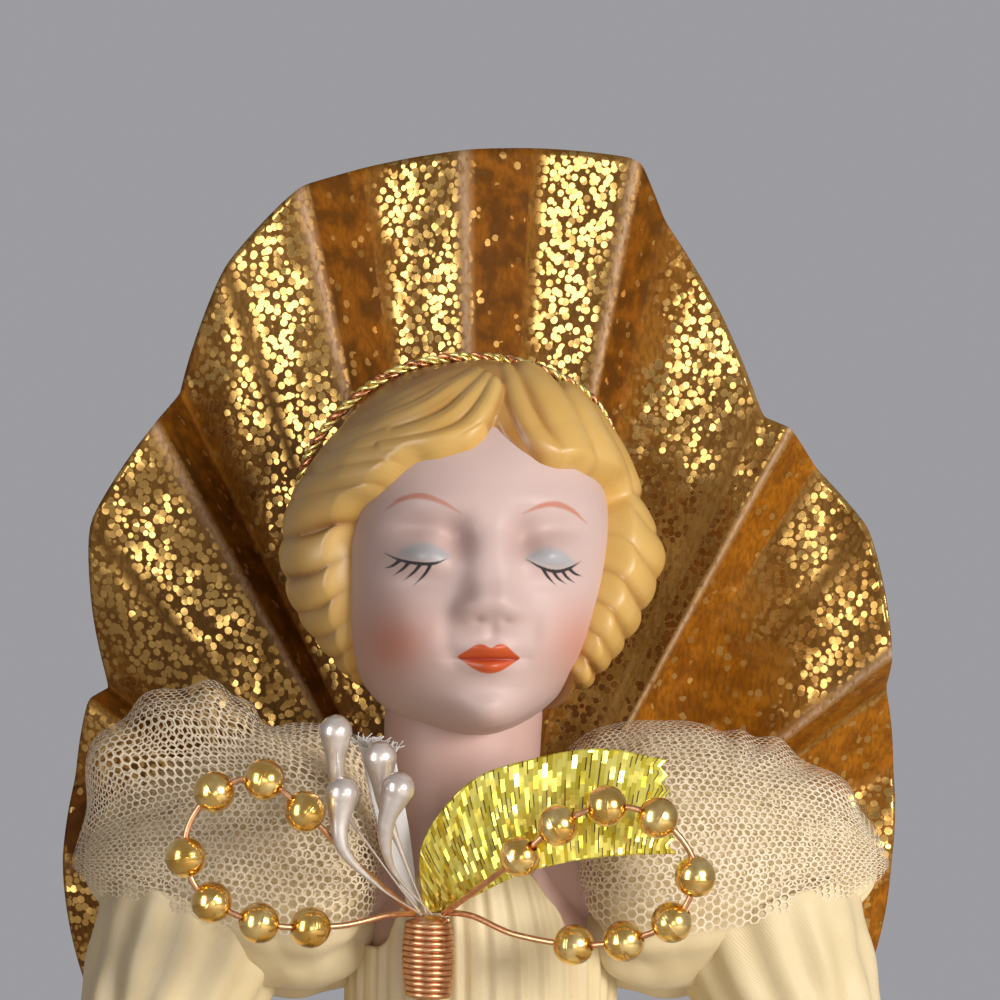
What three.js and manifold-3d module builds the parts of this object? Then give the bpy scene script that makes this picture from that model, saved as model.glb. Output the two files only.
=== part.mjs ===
// Angel ornament: a bisque head and hands on a card cone, dressed in satin and net, with a pleated
// lame fan for wings. Millimetres, +Z up; the figure stands on z = 0 and faces -Y.
// Left and right are the figure's own, so left is +X.
import * as THREE from "three";
import { mergeVertices } from "three/addons/utils/BufferGeometryUtils.js";
import Module from "manifold-3d";

const wasm = await Module();
wasm.setup();

// Gap that seated pieces keep
const SEAT_GAP = 0.3;

// Card cone that the figure stands on
const CONE_HEIGHT = 150;
const CONE_BASE_RADIUS = 44;
const CONE_TOP_RADIUS = 4;
const CARD_THICKNESS = 1.2;

// Shoulder plate, neck and shoulder stubs
const SOCKET_DEPTH = 12;
const BUST_HALF_WIDTH = 12;
const BUST_HALF_DEPTH = 10.2;
const SHOULDER_RISE = 17;
const STUB_RADIUS = 6.5;
const STUB_TIP_RADIUS = 4.6;
const STUB_REACH = 18;
const NECK_RADIUS = 7.8;
const NECK_LEAN = -1.2;
const CHIN_RISE = 13;

// Head, measured from the chin, and its moulded hair
const HEAD_TURN = 7;
const HEAD_SHIFT = -0.65;
const FACE_CENTRE_RISE = 17;
const FACE_HALF_WIDTH = 13.4;
const FACE_DEPTH = 15.3;
const SKULL_DEPTH = 12.2;
const CROWN_RISE = 18.6;
const HEAD_SQUARENESS = 2.25;
const HAIR_SIDE = 4.7;
const HAIR_CAP = 1.2;
const LOCK_HEIGHT = 1.1;
const LOCK_DROOP = 20;

// Braid over the crown
const BRAID_RADIUS = 0.55;
const BRAID_GAP = 0.55;
const BRAID_TILT = 33;
const BRAID_CANT = -0.2;
const BRAID_OFFSET = 9.3;

// Cloth
const CLOTH = 1;
const BODICE_RISE = 9.5;
const YOKE_RISE = 9;
const BODICE_DROP = 18.2;
const SASH_HEIGHT = 7;
const SASH_THICKNESS = 0.8;
const BAND_HEIGHT = 3.5;
const HEM_RADIUS = 57;
const HEM_HEIGHT = 0.8;
const FOLD_COUNT = 12;
const FOLD_DEPTH = 3;
const FLARE = 1.6;
const NET = 0.8;
const NET_GAP = 0.5;
const NET_SHARE = 0.86;

// Pleated fan
const FAN_NECK_HALF_WIDTH = 5.5;
const FAN_NECK_HALF_DEPTH = 1.2;
const FAN_NECK_HEIGHT = 8;
const FAN_LEAN = 8;
const FAN_CLOTH = 0.9;
const TIE_RADIUS = 0.9;
const TIE_DROP = 5;

// Arms, measured from the shoulder line
const PUFF_OUT = 15;
const PUFF_HALF_LENGTH = 14.5;
const PUFF_RADIUS = 15;
const PUFF_NET_FOLDS = 5;
const PUFF_NET_FOLD_DEPTH = 0.7;
const PUFF_NET_MOUTH = 7.5;
const WIRE_RADIUS = 0.8;
const WIRE_SEAT = 4.5;
const FOREARM_RADIUS = 3.5;
const WRIST_RADIUS = 2.5;
const FOREARM_LENGTH = 13;
const HAND_LENGTH = 9;
const FINGER_LENGTH = 8;
const CUFF_RADIUS = 5.4;
const CUFF_OVERLAP = 7;
const CORD_RADIUS = 0.5;

// Breast spray
const BINDING_X = -5;
const BINDING_RADIUS = 2.4;
const BINDING_HEIGHT = 8;
const BINDING_RISE = 13;
const SPRAY_WIRE_RADIUS = 0.3;
const BEAD_RADIUS = 1.95;
const BEAD_HOLE_GAP = 0.55;
const BEAD_PITCH = 5;
const BEAD_SPACE_BELOW_TOP = 2;
const PEARL_RADIUS = 1.55;
const PEARL_LENGTH = 7.3;
const STEM_RADIUS = 0.4;
const RIBBON = 0.5;

// Heights and fits that follow from the sizes above
const bustBottom = CONE_HEIGHT - SOCKET_DEPTH;
const shoulderZ = bustBottom + SHOULDER_RISE;
const chinZ = shoulderZ + CHIN_RISE;
const bodiceTop = bustBottom + BODICE_RISE;
const bodiceBottom = bustBottom - BODICE_DROP;
const bandTop = bodiceBottom - SEAT_GAP;
const bandBottom = bandTop - BAND_HEIGHT;
const bodiceBack = BUST_HALF_DEPTH + SEAT_GAP + CLOTH;
const coneRadius = (z) => THREE.MathUtils.lerp(CONE_BASE_RADIUS, CONE_TOP_RADIUS, z / CONE_HEIGHT);
const waistRadius = coneRadius(bodiceBottom) + SEAT_GAP;
const skirtTopRadius = coneRadius(bandBottom) + SEAT_GAP + CLOTH;
const neckBase = shoulderZ + STUB_RADIUS - 1.5;
const puffCentre = BUST_HALF_WIDTH + PUFF_OUT;

const point = (x, y, z) => new THREE.Vector3(x, y, z);
const radians = THREE.MathUtils.degToRad;
const lerp = THREE.MathUtils.lerp;
const clamp = THREE.MathUtils.clamp;
const turn = 2 * Math.PI;

// A closed geometry from points and triangles, with its faces turned outward.
function closedGeometry(points, triangles) {
  const cross = new THREE.Vector3();
  let volume = 0;
  for (const [a, b, c] of triangles) {
    volume += points[a].dot(cross.crossVectors(points[b], points[c]));
  }
  const faces = volume < 0 ? triangles.map(([a, b, c]) => [a, c, b]) : triangles;
  const geometry = new THREE.BufferGeometry().setFromPoints(points);
  geometry.setIndex(faces.flat());
  return geometry;
}

// Rings of points joined in order: capped at both ends, or closed on themselves.
function lofted(rings, closed = false) {
  const sides = rings[0].length;
  const points = rings.flat();
  const triangles = [];
  const spans = closed ? rings.length : rings.length - 1;
  for (let ring = 0; ring < spans; ring++) {
    const next = (ring + 1) % rings.length;
    for (let side = 0; side < sides; side++) {
      const beside = (side + 1) % sides;
      const [a, b] = [ring * sides + side, ring * sides + beside];
      const [c, d] = [next * sides + beside, next * sides + side];
      triangles.push([a, b, c], [a, c, d]);
    }
  }
  for (const ring of closed ? [] : [0, rings.length - 1]) {
    const centre = points.length;
    points.push(rings[ring].reduce((sum, p) => sum.add(p), point(0, 0, 0)).divideScalar(sides));
    for (let side = 0; side < sides; side++) {
      const edge = [ring * sides + side, ring * sides + (side + 1) % sides];
      triangles.push(ring === 0 ? [edge[1], edge[0], centre] : [edge[0], edge[1], centre]);
    }
  }
  return closedGeometry(points, triangles);
}

// A sheet between a front and a back face, each a function of station i and step j.
function sheet(across, along, front, back) {
  const points = [];
  const triangles = [];
  const index = (face, i, j) => (face * (across + 1) + i) * (along + 1) + j;
  const quad = (a, b, c, d) => triangles.push([a, b, c], [a, c, d]);
  for (const face of [front, back]) {
    for (let i = 0; i <= across; i++) {
      for (let j = 0; j <= along; j++) {
        points.push(face(i, j));
      }
    }
  }
  for (let i = 0; i < across; i++) {
    for (let j = 0; j < along; j++) {
      quad(index(0, i, j), index(0, i + 1, j), index(0, i + 1, j + 1), index(0, i, j + 1));
      quad(index(1, i, j), index(1, i, j + 1), index(1, i + 1, j + 1), index(1, i + 1, j));
    }
    quad(index(0, i, 0), index(1, i, 0), index(1, i + 1, 0), index(0, i + 1, 0));
    quad(index(0, i, along), index(0, i + 1, along), index(1, i + 1, along), index(1, i, along));
  }
  for (let j = 0; j < along; j++) {
    quad(index(0, 0, j), index(0, 0, j + 1), index(1, 0, j + 1), index(1, 0, j));
    quad(index(0, across, j), index(1, across, j), index(1, across, j + 1), index(0, across, j + 1));
  }
  return closedGeometry(points, triangles);
}

// A level oval ring of points.
function ovalRing(z, halfWidth, halfDepth, sides, shift = 0) {
  return Array.from({ length: sides }, (_, side) => {
    const angle = side / sides * turn;
    return point(shift + halfWidth * Math.cos(angle), halfDepth * Math.sin(angle), z);
  });
}

// Round rings along a curve whose radius changes with the share of its length.
function taperedTube(curve, radius, shares, sides) {
  const fine = 60;
  const frames = curve.computeFrenetFrames(fine);
  return lofted(shares.map((share) => {
    const frame = Math.round(share * fine);
    const centre = curve.getPointAt(frame / fine);
    return Array.from({ length: sides }, (_, side) => {
      const angle = side / sides * turn;
      return centre.clone()
        .addScaledVector(frames.normals[frame], radius(share) * Math.cos(angle))
        .addScaledVector(frames.binormals[frame], radius(share) * Math.sin(angle));
    });
  }));
}

// A round rod along a curve.
function rod(curve, radius, steps, sides) {
  const section = new THREE.Shape();
  section.setFromPoints(Array.from({ length: sides }, (_, side) => {
    const angle = side / sides * turn;
    return new THREE.Vector2(radius * Math.cos(angle), radius * Math.sin(angle));
  }));
  return new THREE.ExtrudeGeometry(section, { steps, extrudePath: curve, bevelEnabled: false });
}

const spline = (...points) => new THREE.CatmullRomCurve3(points, false, "centripetal");
const evenShares = (count) => Array.from({ length: count + 1 }, (_, i) => i / count);

function solidOf(geometry) {
  const bare = geometry.clone();
  bare.deleteAttribute("normal");
  bare.deleteAttribute("uv");
  const merged = mergeVertices(bare, 1e-4);
  return new wasm.Manifold(new wasm.Mesh({
    numProp: 3,
    vertProperties: merged.attributes.position.array,
    triVerts: new Uint32Array(merged.index.array),
  }));
}

function geometryOf(solid) {
  const mesh = solid.getMesh();
  const geometry = new THREE.BufferGeometry();
  geometry.setAttribute("position", new THREE.BufferAttribute(mesh.vertProperties, 3));
  geometry.setIndex(new THREE.BufferAttribute(mesh.triVerts, 1));
  return geometry;
}

// Finishes, by what the piece is made of
const FINISHES = {
  card: { color: 0xb59a72, roughness: 0.9, metalness: 0 },
  bisque: { color: 0xe8d2cc, roughness: 0.5, metalness: 0 },
  braid: { color: 0xb8863c, roughness: 0.4, metalness: 0.8 },
  satin: { color: 0xefe6d2, roughness: 0.45, metalness: 0 },
  net: { color: 0xe9dcc0, roughness: 0.8, metalness: 0 },
  lame: { color: 0xb98a36, roughness: 0.35, metalness: 0.9 },
  lurex: { color: 0xd9bd2a, roughness: 0.3, metalness: 0.9 },
  copper: { color: 0x8a5a34, roughness: 0.4, metalness: 0.9 },
  gold: { color: 0xd8ab4e, roughness: 0.25, metalness: 0.9 },
  steel: { color: 0x8d8f93, roughness: 0.4, metalness: 1 },
  pearl: { color: 0xf2ece6, roughness: 0.25, metalness: 0 },
};

function piece(name, geometry, finish) {
  const mesh = new THREE.Mesh(geometry, new THREE.MeshStandardMaterial(FINISHES[finish]));
  mesh.name = name;
  return mesh;
}

const angel = new THREE.Group();

// Card cone: an open frustum that stands on its lower edge.
function cardCone() {
  const sides = 48;
  const ring = (z, inset) => ovalRing(z, coneRadius(z) - inset, coneRadius(z) - inset, sides);
  const rings = [
    ring(0, 0), ring(CONE_HEIGHT, 0), ring(CONE_HEIGHT, CARD_THICKNESS), ring(0, CARD_THICKNESS),
  ];
  return lofted(rings, true);
}
angel.add(piece("card_cone", cardCone(), "card"));

// Head. Directions are taken from the middle of the face: "polar" is the angle away from straight
// ahead, and "around" runs from the figure's left (0 degrees) up over the crown (90).

// The hairline's polar angle at hand-picked angles around the face
const HAIRLINE = [
  [-90, 128], [-72, 110], [-62, 84], [-55, 67], [-32, 59], [-13, 56], [2, 57], [20, 61], [29, 66],
  [36, 63], [51, 54], [65, 46], [79, 46], [88, 52], [97, 46], [113, 45], [126, 48], [142, 53],
  [155, 59], [162, 63], [180, 65], [197, 66], [219, 70], [229, 75], [241, 92], [252, 112], [270, 128],
];

// Where the grooves between the hair's locks meet the hairline
const LOCK_EDGES = [
  -72, -54, -38, -22, -7, 9, 22, 34, 49, 68, 90, 109, 127, 147, 164, 179, 194, 210, 226, 242, 265,
];

// Swellings of the face: [x, height above the chin, half-width, half-height, how far out]
const FACE_FORMS = [
  [0, 2.3, 4.7, 2.5, 3.9], [0, 7.4, 5.4, 3.4, 1.1], [0, 8.7, 2.4, 0.9, 0.8], [0, 6.8, 2, 0.9, 0.8],
  [0, 4.9, 2.8, 0.9, -0.4], [0, 13.4, 1.9, 2, 2.7], [0, 16.6, 1.6, 3.4, 1.4],
];
const PAIRED_FACE_FORMS = [
  [2.2, 12.5, 1.1, 1.1, 0.8], [5.2, 19.7, 3.2, 1.8, -1], [6.2, 17.3, 2.5, 1.7, 1],
  [6.2, 23, 4.2, 1.6, 0.4], [7.6, 10, 3.9, 4, 0.9],
];

function hairline(around) {
  const right = HAIRLINE.findIndex(([angle]) => angle > around);
  const [from, to] = [HAIRLINE[right - 1], HAIRLINE[right]];
  return lerp(from[1], to[1], (around - from[0]) / (to[0] - from[0]));
}

function swelling([x, z, halfWidth, halfHeight, out], at) {
  return out * Math.exp(-(((at.x - x) / halfWidth) ** 2) - ((at.z - z) / halfHeight) ** 2);
}

// Length from the head's middle to its surface along a direction, with "hair" millimetres added.
function skullRadius(direction, hair) {
  const depth = direction.y < 0 ? FACE_DEPTH : SKULL_DEPTH;
  const height = direction.z < 0 ? FACE_CENTRE_RISE : CROWN_RISE;
  const share = Math.abs(direction.x / FACE_HALF_WIDTH) ** HEAD_SQUARENESS
    + Math.abs(direction.y / depth) ** HEAD_SQUARENESS
    + Math.abs(direction.z / height) ** HEAD_SQUARENESS;
  return share ** (-1 / HEAD_SQUARENESS) + hair;
}

function hairThickness(direction) {
  const side = direction.x ** 2 * (direction.z < 0 ? 1 - 0.5 * direction.z ** 2 : 1);
  return HAIR_CAP + HAIR_SIDE * side + Math.max(0, direction.y);
}

function towards(polar, around) {
  const [p, a] = [radians(polar), radians(around)];
  return point(Math.sin(p) * Math.cos(a), -Math.cos(p), Math.sin(p) * Math.sin(a));
}

function facePoint(polar, around) {
  const direction = towards(polar, around);
  const at = direction.multiplyScalar(skullRadius(direction, 0));
  at.z += FACE_CENTRE_RISE;
  const ahead = clamp(Math.cos(radians(polar)) * 2, 0, 1);
  const mirrored = PAIRED_FACE_FORMS.map(([x, ...rest]) => [-x, ...rest]);
  const forms = [...FACE_FORMS, ...PAIRED_FACE_FORMS, ...mirrored];
  at.y -= ahead * forms.reduce((sum, form) => sum + swelling(form, at), 0);
  return at;
}

// The locks sweep down and outward as they leave the hairline.
function hairPoint(share, around, crest) {
  const start = hairline(around);
  const towardsNape = around > 90 ? 270 - around : around + 90;
  const sweep = Math.sign(around - 90) * LOCK_DROOP * clamp(towardsNape / 90, 0, 1);
  const polar = lerp(start, 176, share);
  const direction = towards(polar, around + sweep * Math.min(1, share * 1.6));
  const relief = LOCK_HEIGHT * (crest - 0.5) * clamp(2 - 2 * share, 0, 1);
  const radius = skullRadius(direction, hairThickness(direction) + relief);
  const at = direction.clone().multiplyScalar(radius);
  at.z += FACE_CENTRE_RISE;
  return at;
}

function headGeometry() {
  const stations = [];
  LOCK_EDGES.forEach((edge, lock) => {
    const next = lock + 1 < LOCK_EDGES.length ? LOCK_EDGES[lock + 1] : LOCK_EDGES[0] + 360;
    for (const share of [0, 1 / 3, 2 / 3]) {
      const around = lerp(edge, next, share);
      stations.push({ around: around > 270 ? around - 360 : around, crest: share > 0 ? 1 : 0 });
    }
  });
  const rings = [];
  for (const share of [0.03, 0.12, 0.22, 0.32, 0.43, 0.55, 0.68, 0.82, 0.98]) {
    rings.push(stations.map(({ around }) => facePoint(hairline(around) * share, around)));
  }
  for (const share of [0, 0.05, 0.12, 0.2, 0.3, 0.42, 0.56, 0.72, 0.88, 1]) {
    rings.push(stations.map(({ around, crest }) => hairPoint(share, around, crest)));
  }
  return lofted(rings);
}

function placeHead(geometry) {
  return geometry.rotateZ(radians(HEAD_TURN)).translate(HEAD_SHIFT, 0, chinZ);
}

// Stub outline turned about the shoulder line; "gap" makes the room round it.
function stub(gap) {
  const outline = [
    [0, 0], [STUB_RADIUS + gap, 0], [STUB_RADIUS + gap, BUST_HALF_WIDTH - 2],
    [STUB_TIP_RADIUS + gap, STUB_REACH + gap], [0, STUB_REACH + gap],
  ];
  const profile = outline.map(([radius, reach]) => new THREE.Vector2(radius, reach));
  return new THREE.LatheGeometry(profile, 20).rotateZ(-Math.PI / 2);
}

// Shoulder plate and neck from below: [height, half-width, half-depth, shift of the middle]
const BUST_LEVELS = [
  [bustBottom, BUST_HALF_WIDTH, BUST_HALF_DEPTH, 0],
  [bodiceTop, BUST_HALF_WIDTH, BUST_HALF_DEPTH, 0],
  [lerp(bodiceTop, neckBase, 0.4), lerp(BUST_HALF_WIDTH, NECK_RADIUS, 0.25), BUST_HALF_DEPTH - 0.6, 0],
  [
    lerp(bodiceTop, neckBase, 0.75),
    lerp(BUST_HALF_WIDTH, NECK_RADIUS, 0.6),
    BUST_HALF_DEPTH - 1.4,
    NECK_LEAN / 2,
  ],
  [neckBase, NECK_RADIUS + 0.3, NECK_RADIUS + 0.3, NECK_LEAN],
  [chinZ - 1, NECK_RADIUS - 0.1, NECK_RADIUS - 0.1, NECK_LEAN],
  [chinZ + FACE_CENTRE_RISE / 2, NECK_RADIUS, NECK_RADIUS, NECK_LEAN],
];

// The plate's half-width, half-depth and shift at a height
function bustAt(z) {
  const above = Math.max(1, BUST_LEVELS.findIndex(([height]) => height >= z));
  const [from, to] = [BUST_LEVELS[above - 1], BUST_LEVELS[above]];
  const share = (z - from[0]) / (to[0] - from[0]);
  return [1, 2, 3].map((column) => lerp(from[column], to[column], share));
}

function porcelainHead() {
  const sides = 28;
  const bust = lofted(BUST_LEVELS.map(
    ([z, width, depth, shift]) => ovalRing(z, width, depth, sides, shift),
  ));
  const socketBottom = bustBottom - 1;
  const mouth = coneRadius(socketBottom) + SEAT_GAP;
  const roof = CONE_TOP_RADIUS + SEAT_GAP;
  const socket = lofted([
    ovalRing(socketBottom, mouth, mouth, sides),
    ovalRing(CONE_HEIGHT + SEAT_GAP, roof, roof, sides),
  ]);
  let solid = solidOf(placeHead(headGeometry())).add(solidOf(bust));
  for (const side of [1, -1]) {
    const arm = solidOf(stub(0).translate(0, 0, shoulderZ)).scale([side, 1, 1]);
    const boreRadius = WIRE_RADIUS + SEAT_GAP;
    const bore = new THREE.CylinderGeometry(boreRadius, boreRadius, 2 * WIRE_SEAT + 2, 12);
    bore.rotateZ(Math.PI / 2).translate(side * (STUB_REACH + 0.7), 0, shoulderZ);
    solid = solid.add(arm).subtract(solidOf(bore));
  }
  return geometryOf(solid.subtract(solidOf(socket)));
}
angel.add(piece("porcelain_head", porcelainHead(), "bisque"));

// Braid: a cord in a tilted plane, lying on the hair all the way round.
function braid() {
  const steps = 56;
  const sides = 6;
  const tilt = radians(BRAID_TILT);
  const normal = point(BRAID_CANT, Math.cos(tilt), Math.sin(tilt)).normalize();
  const across = point(1, 0, 0).cross(normal).normalize();
  const level = normal.clone().cross(across);
  const outside = (at) => {
    const direction = at.clone().normalize();
    const hair = hairThickness(direction) + LOCK_HEIGHT / 2 + BRAID_GAP + BRAID_RADIUS;
    return at.length() > skullRadius(direction, hair);
  };
  const spots = Array.from({ length: steps }, (_, step) => {
    const angle = step / steps * turn;
    const ray = level.clone().multiplyScalar(Math.cos(angle)).addScaledVector(across, Math.sin(angle));
    let [near, far] = [0, 3 * FACE_HALF_WIDTH];
    for (let halving = 0; halving < 24; halving++) {
      const middle = (near + far) / 2;
      const at = normal.clone().multiplyScalar(BRAID_OFFSET).addScaledVector(ray, middle);
      [near, far] = outside(at) ? [near, middle] : [middle, far];
    }
    const centre = normal.clone().multiplyScalar(BRAID_OFFSET).addScaledVector(ray, near);
    return { centre, ray };
  });
  const rings = spots.map(({ centre, ray }) => Array.from({ length: sides }, (_, side) => {
    const angle = side / sides * turn;
    return centre.clone()
      .addScaledVector(ray, BRAID_RADIUS * Math.cos(angle))
      .addScaledVector(normal, BRAID_RADIUS * Math.sin(angle))
      .add(point(0, 0, FACE_CENTRE_RISE));
  }));
  return placeHead(lofted(rings, true));
}
angel.add(piece("head_braid", braid(), "braid"));

// Bodice: cloth wrapped round the cone's top and the shoulder plate, cut away under the shoulders and
// rising to a yoke before and behind.
function bodice() {
  const sides = 32;
  const ring = (z, yoke, out) => Array.from({ length: sides }, (_, side) => {
    const angle = side / sides * turn;
    const rise = yoke * YOKE_RISE * THREE.MathUtils.smoothstep(Math.abs(Math.sin(angle)), 0.66, 0.95);
    const share = clamp((z - bodiceBottom) / BODICE_DROP, 0, 1);
    const [bustWidth, bustDepth, shift] = bustAt(z + rise);
    const width = lerp(waistRadius, bustWidth + SEAT_GAP, share) + out;
    const depth = lerp(waistRadius, bustDepth + SEAT_GAP, share) + out;
    return point(shift + width * Math.cos(angle), depth * Math.sin(angle), z + rise);
  });
  const levels = [
    [bodiceBottom, 0], [lerp(bodiceBottom, bustBottom, 0.5), 0], [bustBottom, 0], [bodiceTop, 0],
    [bodiceTop, 0.5], [bodiceTop, 1],
  ];
  const outside = levels.map(([z, yoke]) => ring(z + 0.4 * yoke, yoke, CLOTH));
  const inside = levels.map(([z, yoke]) => ring(z + 0.4 * yoke, yoke, 0)).reverse();
  return lofted([...outside, ...inside], true);
}
angel.add(piece("bodice", bodice(), "satin"));

// Skirts: a waistband on the cone, then a bell of folds that deepen towards the hem.
const SKIRT_LEVELS = [0, 0.07, 0.18, 0.35, 0.58, NET_SHARE, 1];

function skirtRadius(share, angle) {
  const flare = 1 - (1 - share) ** FLARE;
  const fold = FOLD_DEPTH * share ** 1.2 * Math.cos(FOLD_COUNT * angle);
  return lerp(skirtTopRadius, HEM_RADIUS, flare) + fold;
}

function skirtRing(share, out) {
  const sides = FOLD_COUNT * 4;
  const z = lerp(bandBottom, HEM_HEIGHT, share);
  return Array.from({ length: sides }, (_, side) => {
    const angle = side / sides * turn;
    const radius = skirtRadius(share, angle) + out;
    return point(radius * Math.cos(angle), radius * Math.sin(angle), z);
  });
}

function satinSkirt() {
  const top = coneRadius(bandTop) + SEAT_GAP;
  const sides = FOLD_COUNT * 4;
  const wall = (out) => [
    ovalRing(bandTop, top + CLOTH + out, top + CLOTH + out, sides),
    ...SKIRT_LEVELS.map((share) => skirtRing(share, out)),
  ];
  return lofted([...wall(0), ...wall(-CLOTH).reverse()], true);
}
angel.add(piece("satin_skirt", satinSkirt(), "satin"));

function netOverskirt() {
  const top = SEAT_GAP / (bandBottom - HEM_HEIGHT);
  const levels = [top, ...SKIRT_LEVELS.filter((share) => share > top && share <= NET_SHARE)];
  const outside = levels.map((share) => skirtRing(share, NET_GAP + NET));
  const inside = levels.map((share) => skirtRing(share, NET_GAP)).reverse();
  return lofted([...outside, ...inside], true);
}
angel.add(piece("net_overskirt", netOverskirt(), "net"));

// Sash: a ribbon round the waist, over the skirt's band and the bodice's lower edge.
function waistSash() {
  const sides = 40;
  const lower = skirtTopRadius + SEAT_GAP;
  const upper = waistRadius + CLOTH + SEAT_GAP;
  const top = bandBottom + SASH_HEIGHT;
  return lofted([
    ovalRing(bandBottom, lower + SASH_THICKNESS, lower + SASH_THICKNESS, sides),
    ovalRing(top, upper + SASH_THICKNESS, upper + SASH_THICKNESS, sides),
    ovalRing(top, upper, upper, sides),
    ovalRing(bandBottom, lower, lower, sides),
  ], true);
}
angel.add(piece("waist_sash", waistSash(), "lurex"));

// Fan: pleats that leave a gathered neck, each fold by its angle from upright, its length, and how
// far its rim comes forward of the fan's mean surface.
const FAN_FOLDS = [
  [-97, 36, -2], [-78, 39, 1], [-67, 41, -2], [-57, 45, 2], [-53.5, 46.5, -2], [-42.5, 58, 6],
  [-31.5, 63, 8], [-28.6, 62.5, 1], [-20.5, 73, 2], [-13.3, 79.5, 4], [-7, 82, -2], [-1.2, 82.4, 4],
  [4.8, 83.3, -2], [11.2, 83, 4], [19.3, 72, 2], [27.4, 61.3, 1], [30.2, 62.6, 8], [42, 58, 6],
  [51.4, 52, -1], [56.6, 49.4, 2], [66, 45, -2], [78, 41, 1], [97, 37, -2],
];
const fanBase = point(
  0,
  bodiceBack + SEAT_GAP + 2 * TIE_RADIUS + SEAT_GAP + FAN_NECK_HALF_DEPTH,
  bodiceTop - BODICE_RISE / 3,
);

function wingFan() {
  const last = FAN_FOLDS.length - 1;
  const reach = [0, 0.001, 0.12, 0.28, 0.46, 0.64, 0.82, 1];
  const front = (i, j) => {
    const [angle, length, forward] = FAN_FOLDS[i];
    const neck = point(lerp(-FAN_NECK_HALF_WIDTH, FAN_NECK_HALF_WIDTH, i / last), 0, 0);
    const rim = point(length * Math.sin(radians(angle)), 0, length * Math.cos(radians(angle)));
    const at = neck.clone().lerp(rim, reach[j]);
    const gather = (i % 2 === 0 ? 1 : -1) * FAN_NECK_HALF_DEPTH / 4 * (1 - reach[j]);
    at.y = gather - FAN_CLOTH / 2 + FAN_LEAN * reach[j] - forward * reach[j] ** 1.4;
    at.z -= j === 0 ? FAN_NECK_HEIGHT : 0;
    return at.add(fanBase);
  };
  const back = (i, j) => front(i, j).add(point(0, FAN_CLOTH, 0));
  return sheet(last, reach.length - 1, front, back);
}
angel.add(piece("wing_fan", wingFan(), "lame"));

// Tie: a cord round the fan's gathered neck, against the bodice's back.
function wingTie() {
  const steps = 32;
  const sides = 6;
  const width = FAN_NECK_HALF_WIDTH + SEAT_GAP + TIE_RADIUS;
  const depth = FAN_NECK_HALF_DEPTH + SEAT_GAP + TIE_RADIUS;
  const centre = fanBase.clone().add(point(0, 0, -TIE_DROP));
  return lofted(Array.from({ length: steps }, (_, step) => {
    const angle = step / steps * turn;
    const squared = (value) => Math.sign(value) * Math.sqrt(Math.abs(value));
    const spot = point(width * squared(Math.cos(angle)), depth * squared(Math.sin(angle)), 0).add(centre);
    const outward = point(depth * Math.cos(angle), width * Math.sin(angle), 0).normalize();
    return Array.from({ length: sides }, (_, side) => {
      const round = side / sides * turn;
      return spot.clone()
        .addScaledVector(outward, TIE_RADIUS * Math.cos(round))
        .add(point(0, 0, TIE_RADIUS * Math.sin(round)));
    });
  }), true);
}
angel.add(piece("wing_tie", wingTie(), "braid"));

// Arms: built for the left side about the shoulder line, then mirrored for the right.
const armWire = spline(
  point(STUB_REACH - WIRE_SEAT + SEAT_GAP, 0, 0), point(STUB_REACH - WIRE_SEAT / 2, 0, 0),
  point(STUB_REACH + 1, 0, 0), point(STUB_REACH + 6, 0, -1.5), point(puffCentre + 3.5, -0.7, -10),
  point(puffCentre + 6, -3, -22), point(puffCentre + 4.5, -9.5, -31), point(puffCentre + 0.5, -17, -33.2),
  point(puffCentre - 1.4, -20.2, -33.3),
);
const sleeveRun = spline(
  point(puffCentre, 0, -4), point(puffCentre + 3.5, -0.8, -14), point(puffCentre + 6, -4, -24.5),
  point(puffCentre + 3.8, -12, -31.5), point(puffCentre - 1, -20, -33.4),
  point(puffCentre - 3.4, -24, -33.5),
);
const forearmStart = point(puffCentre + 1.1, -16, -33.2);
const forearmAim = point(-0.5, -0.86, 0.03).normalize();

function forearmFrame() {
  const height = point(0, 0, 1);
  const thickness = forearmAim.clone().cross(height).normalize();
  const width = thickness.clone().cross(forearmAim).normalize();
  return new THREE.Matrix4().makeBasis(width, thickness, forearmAim).setPosition(forearmStart);
}

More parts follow.
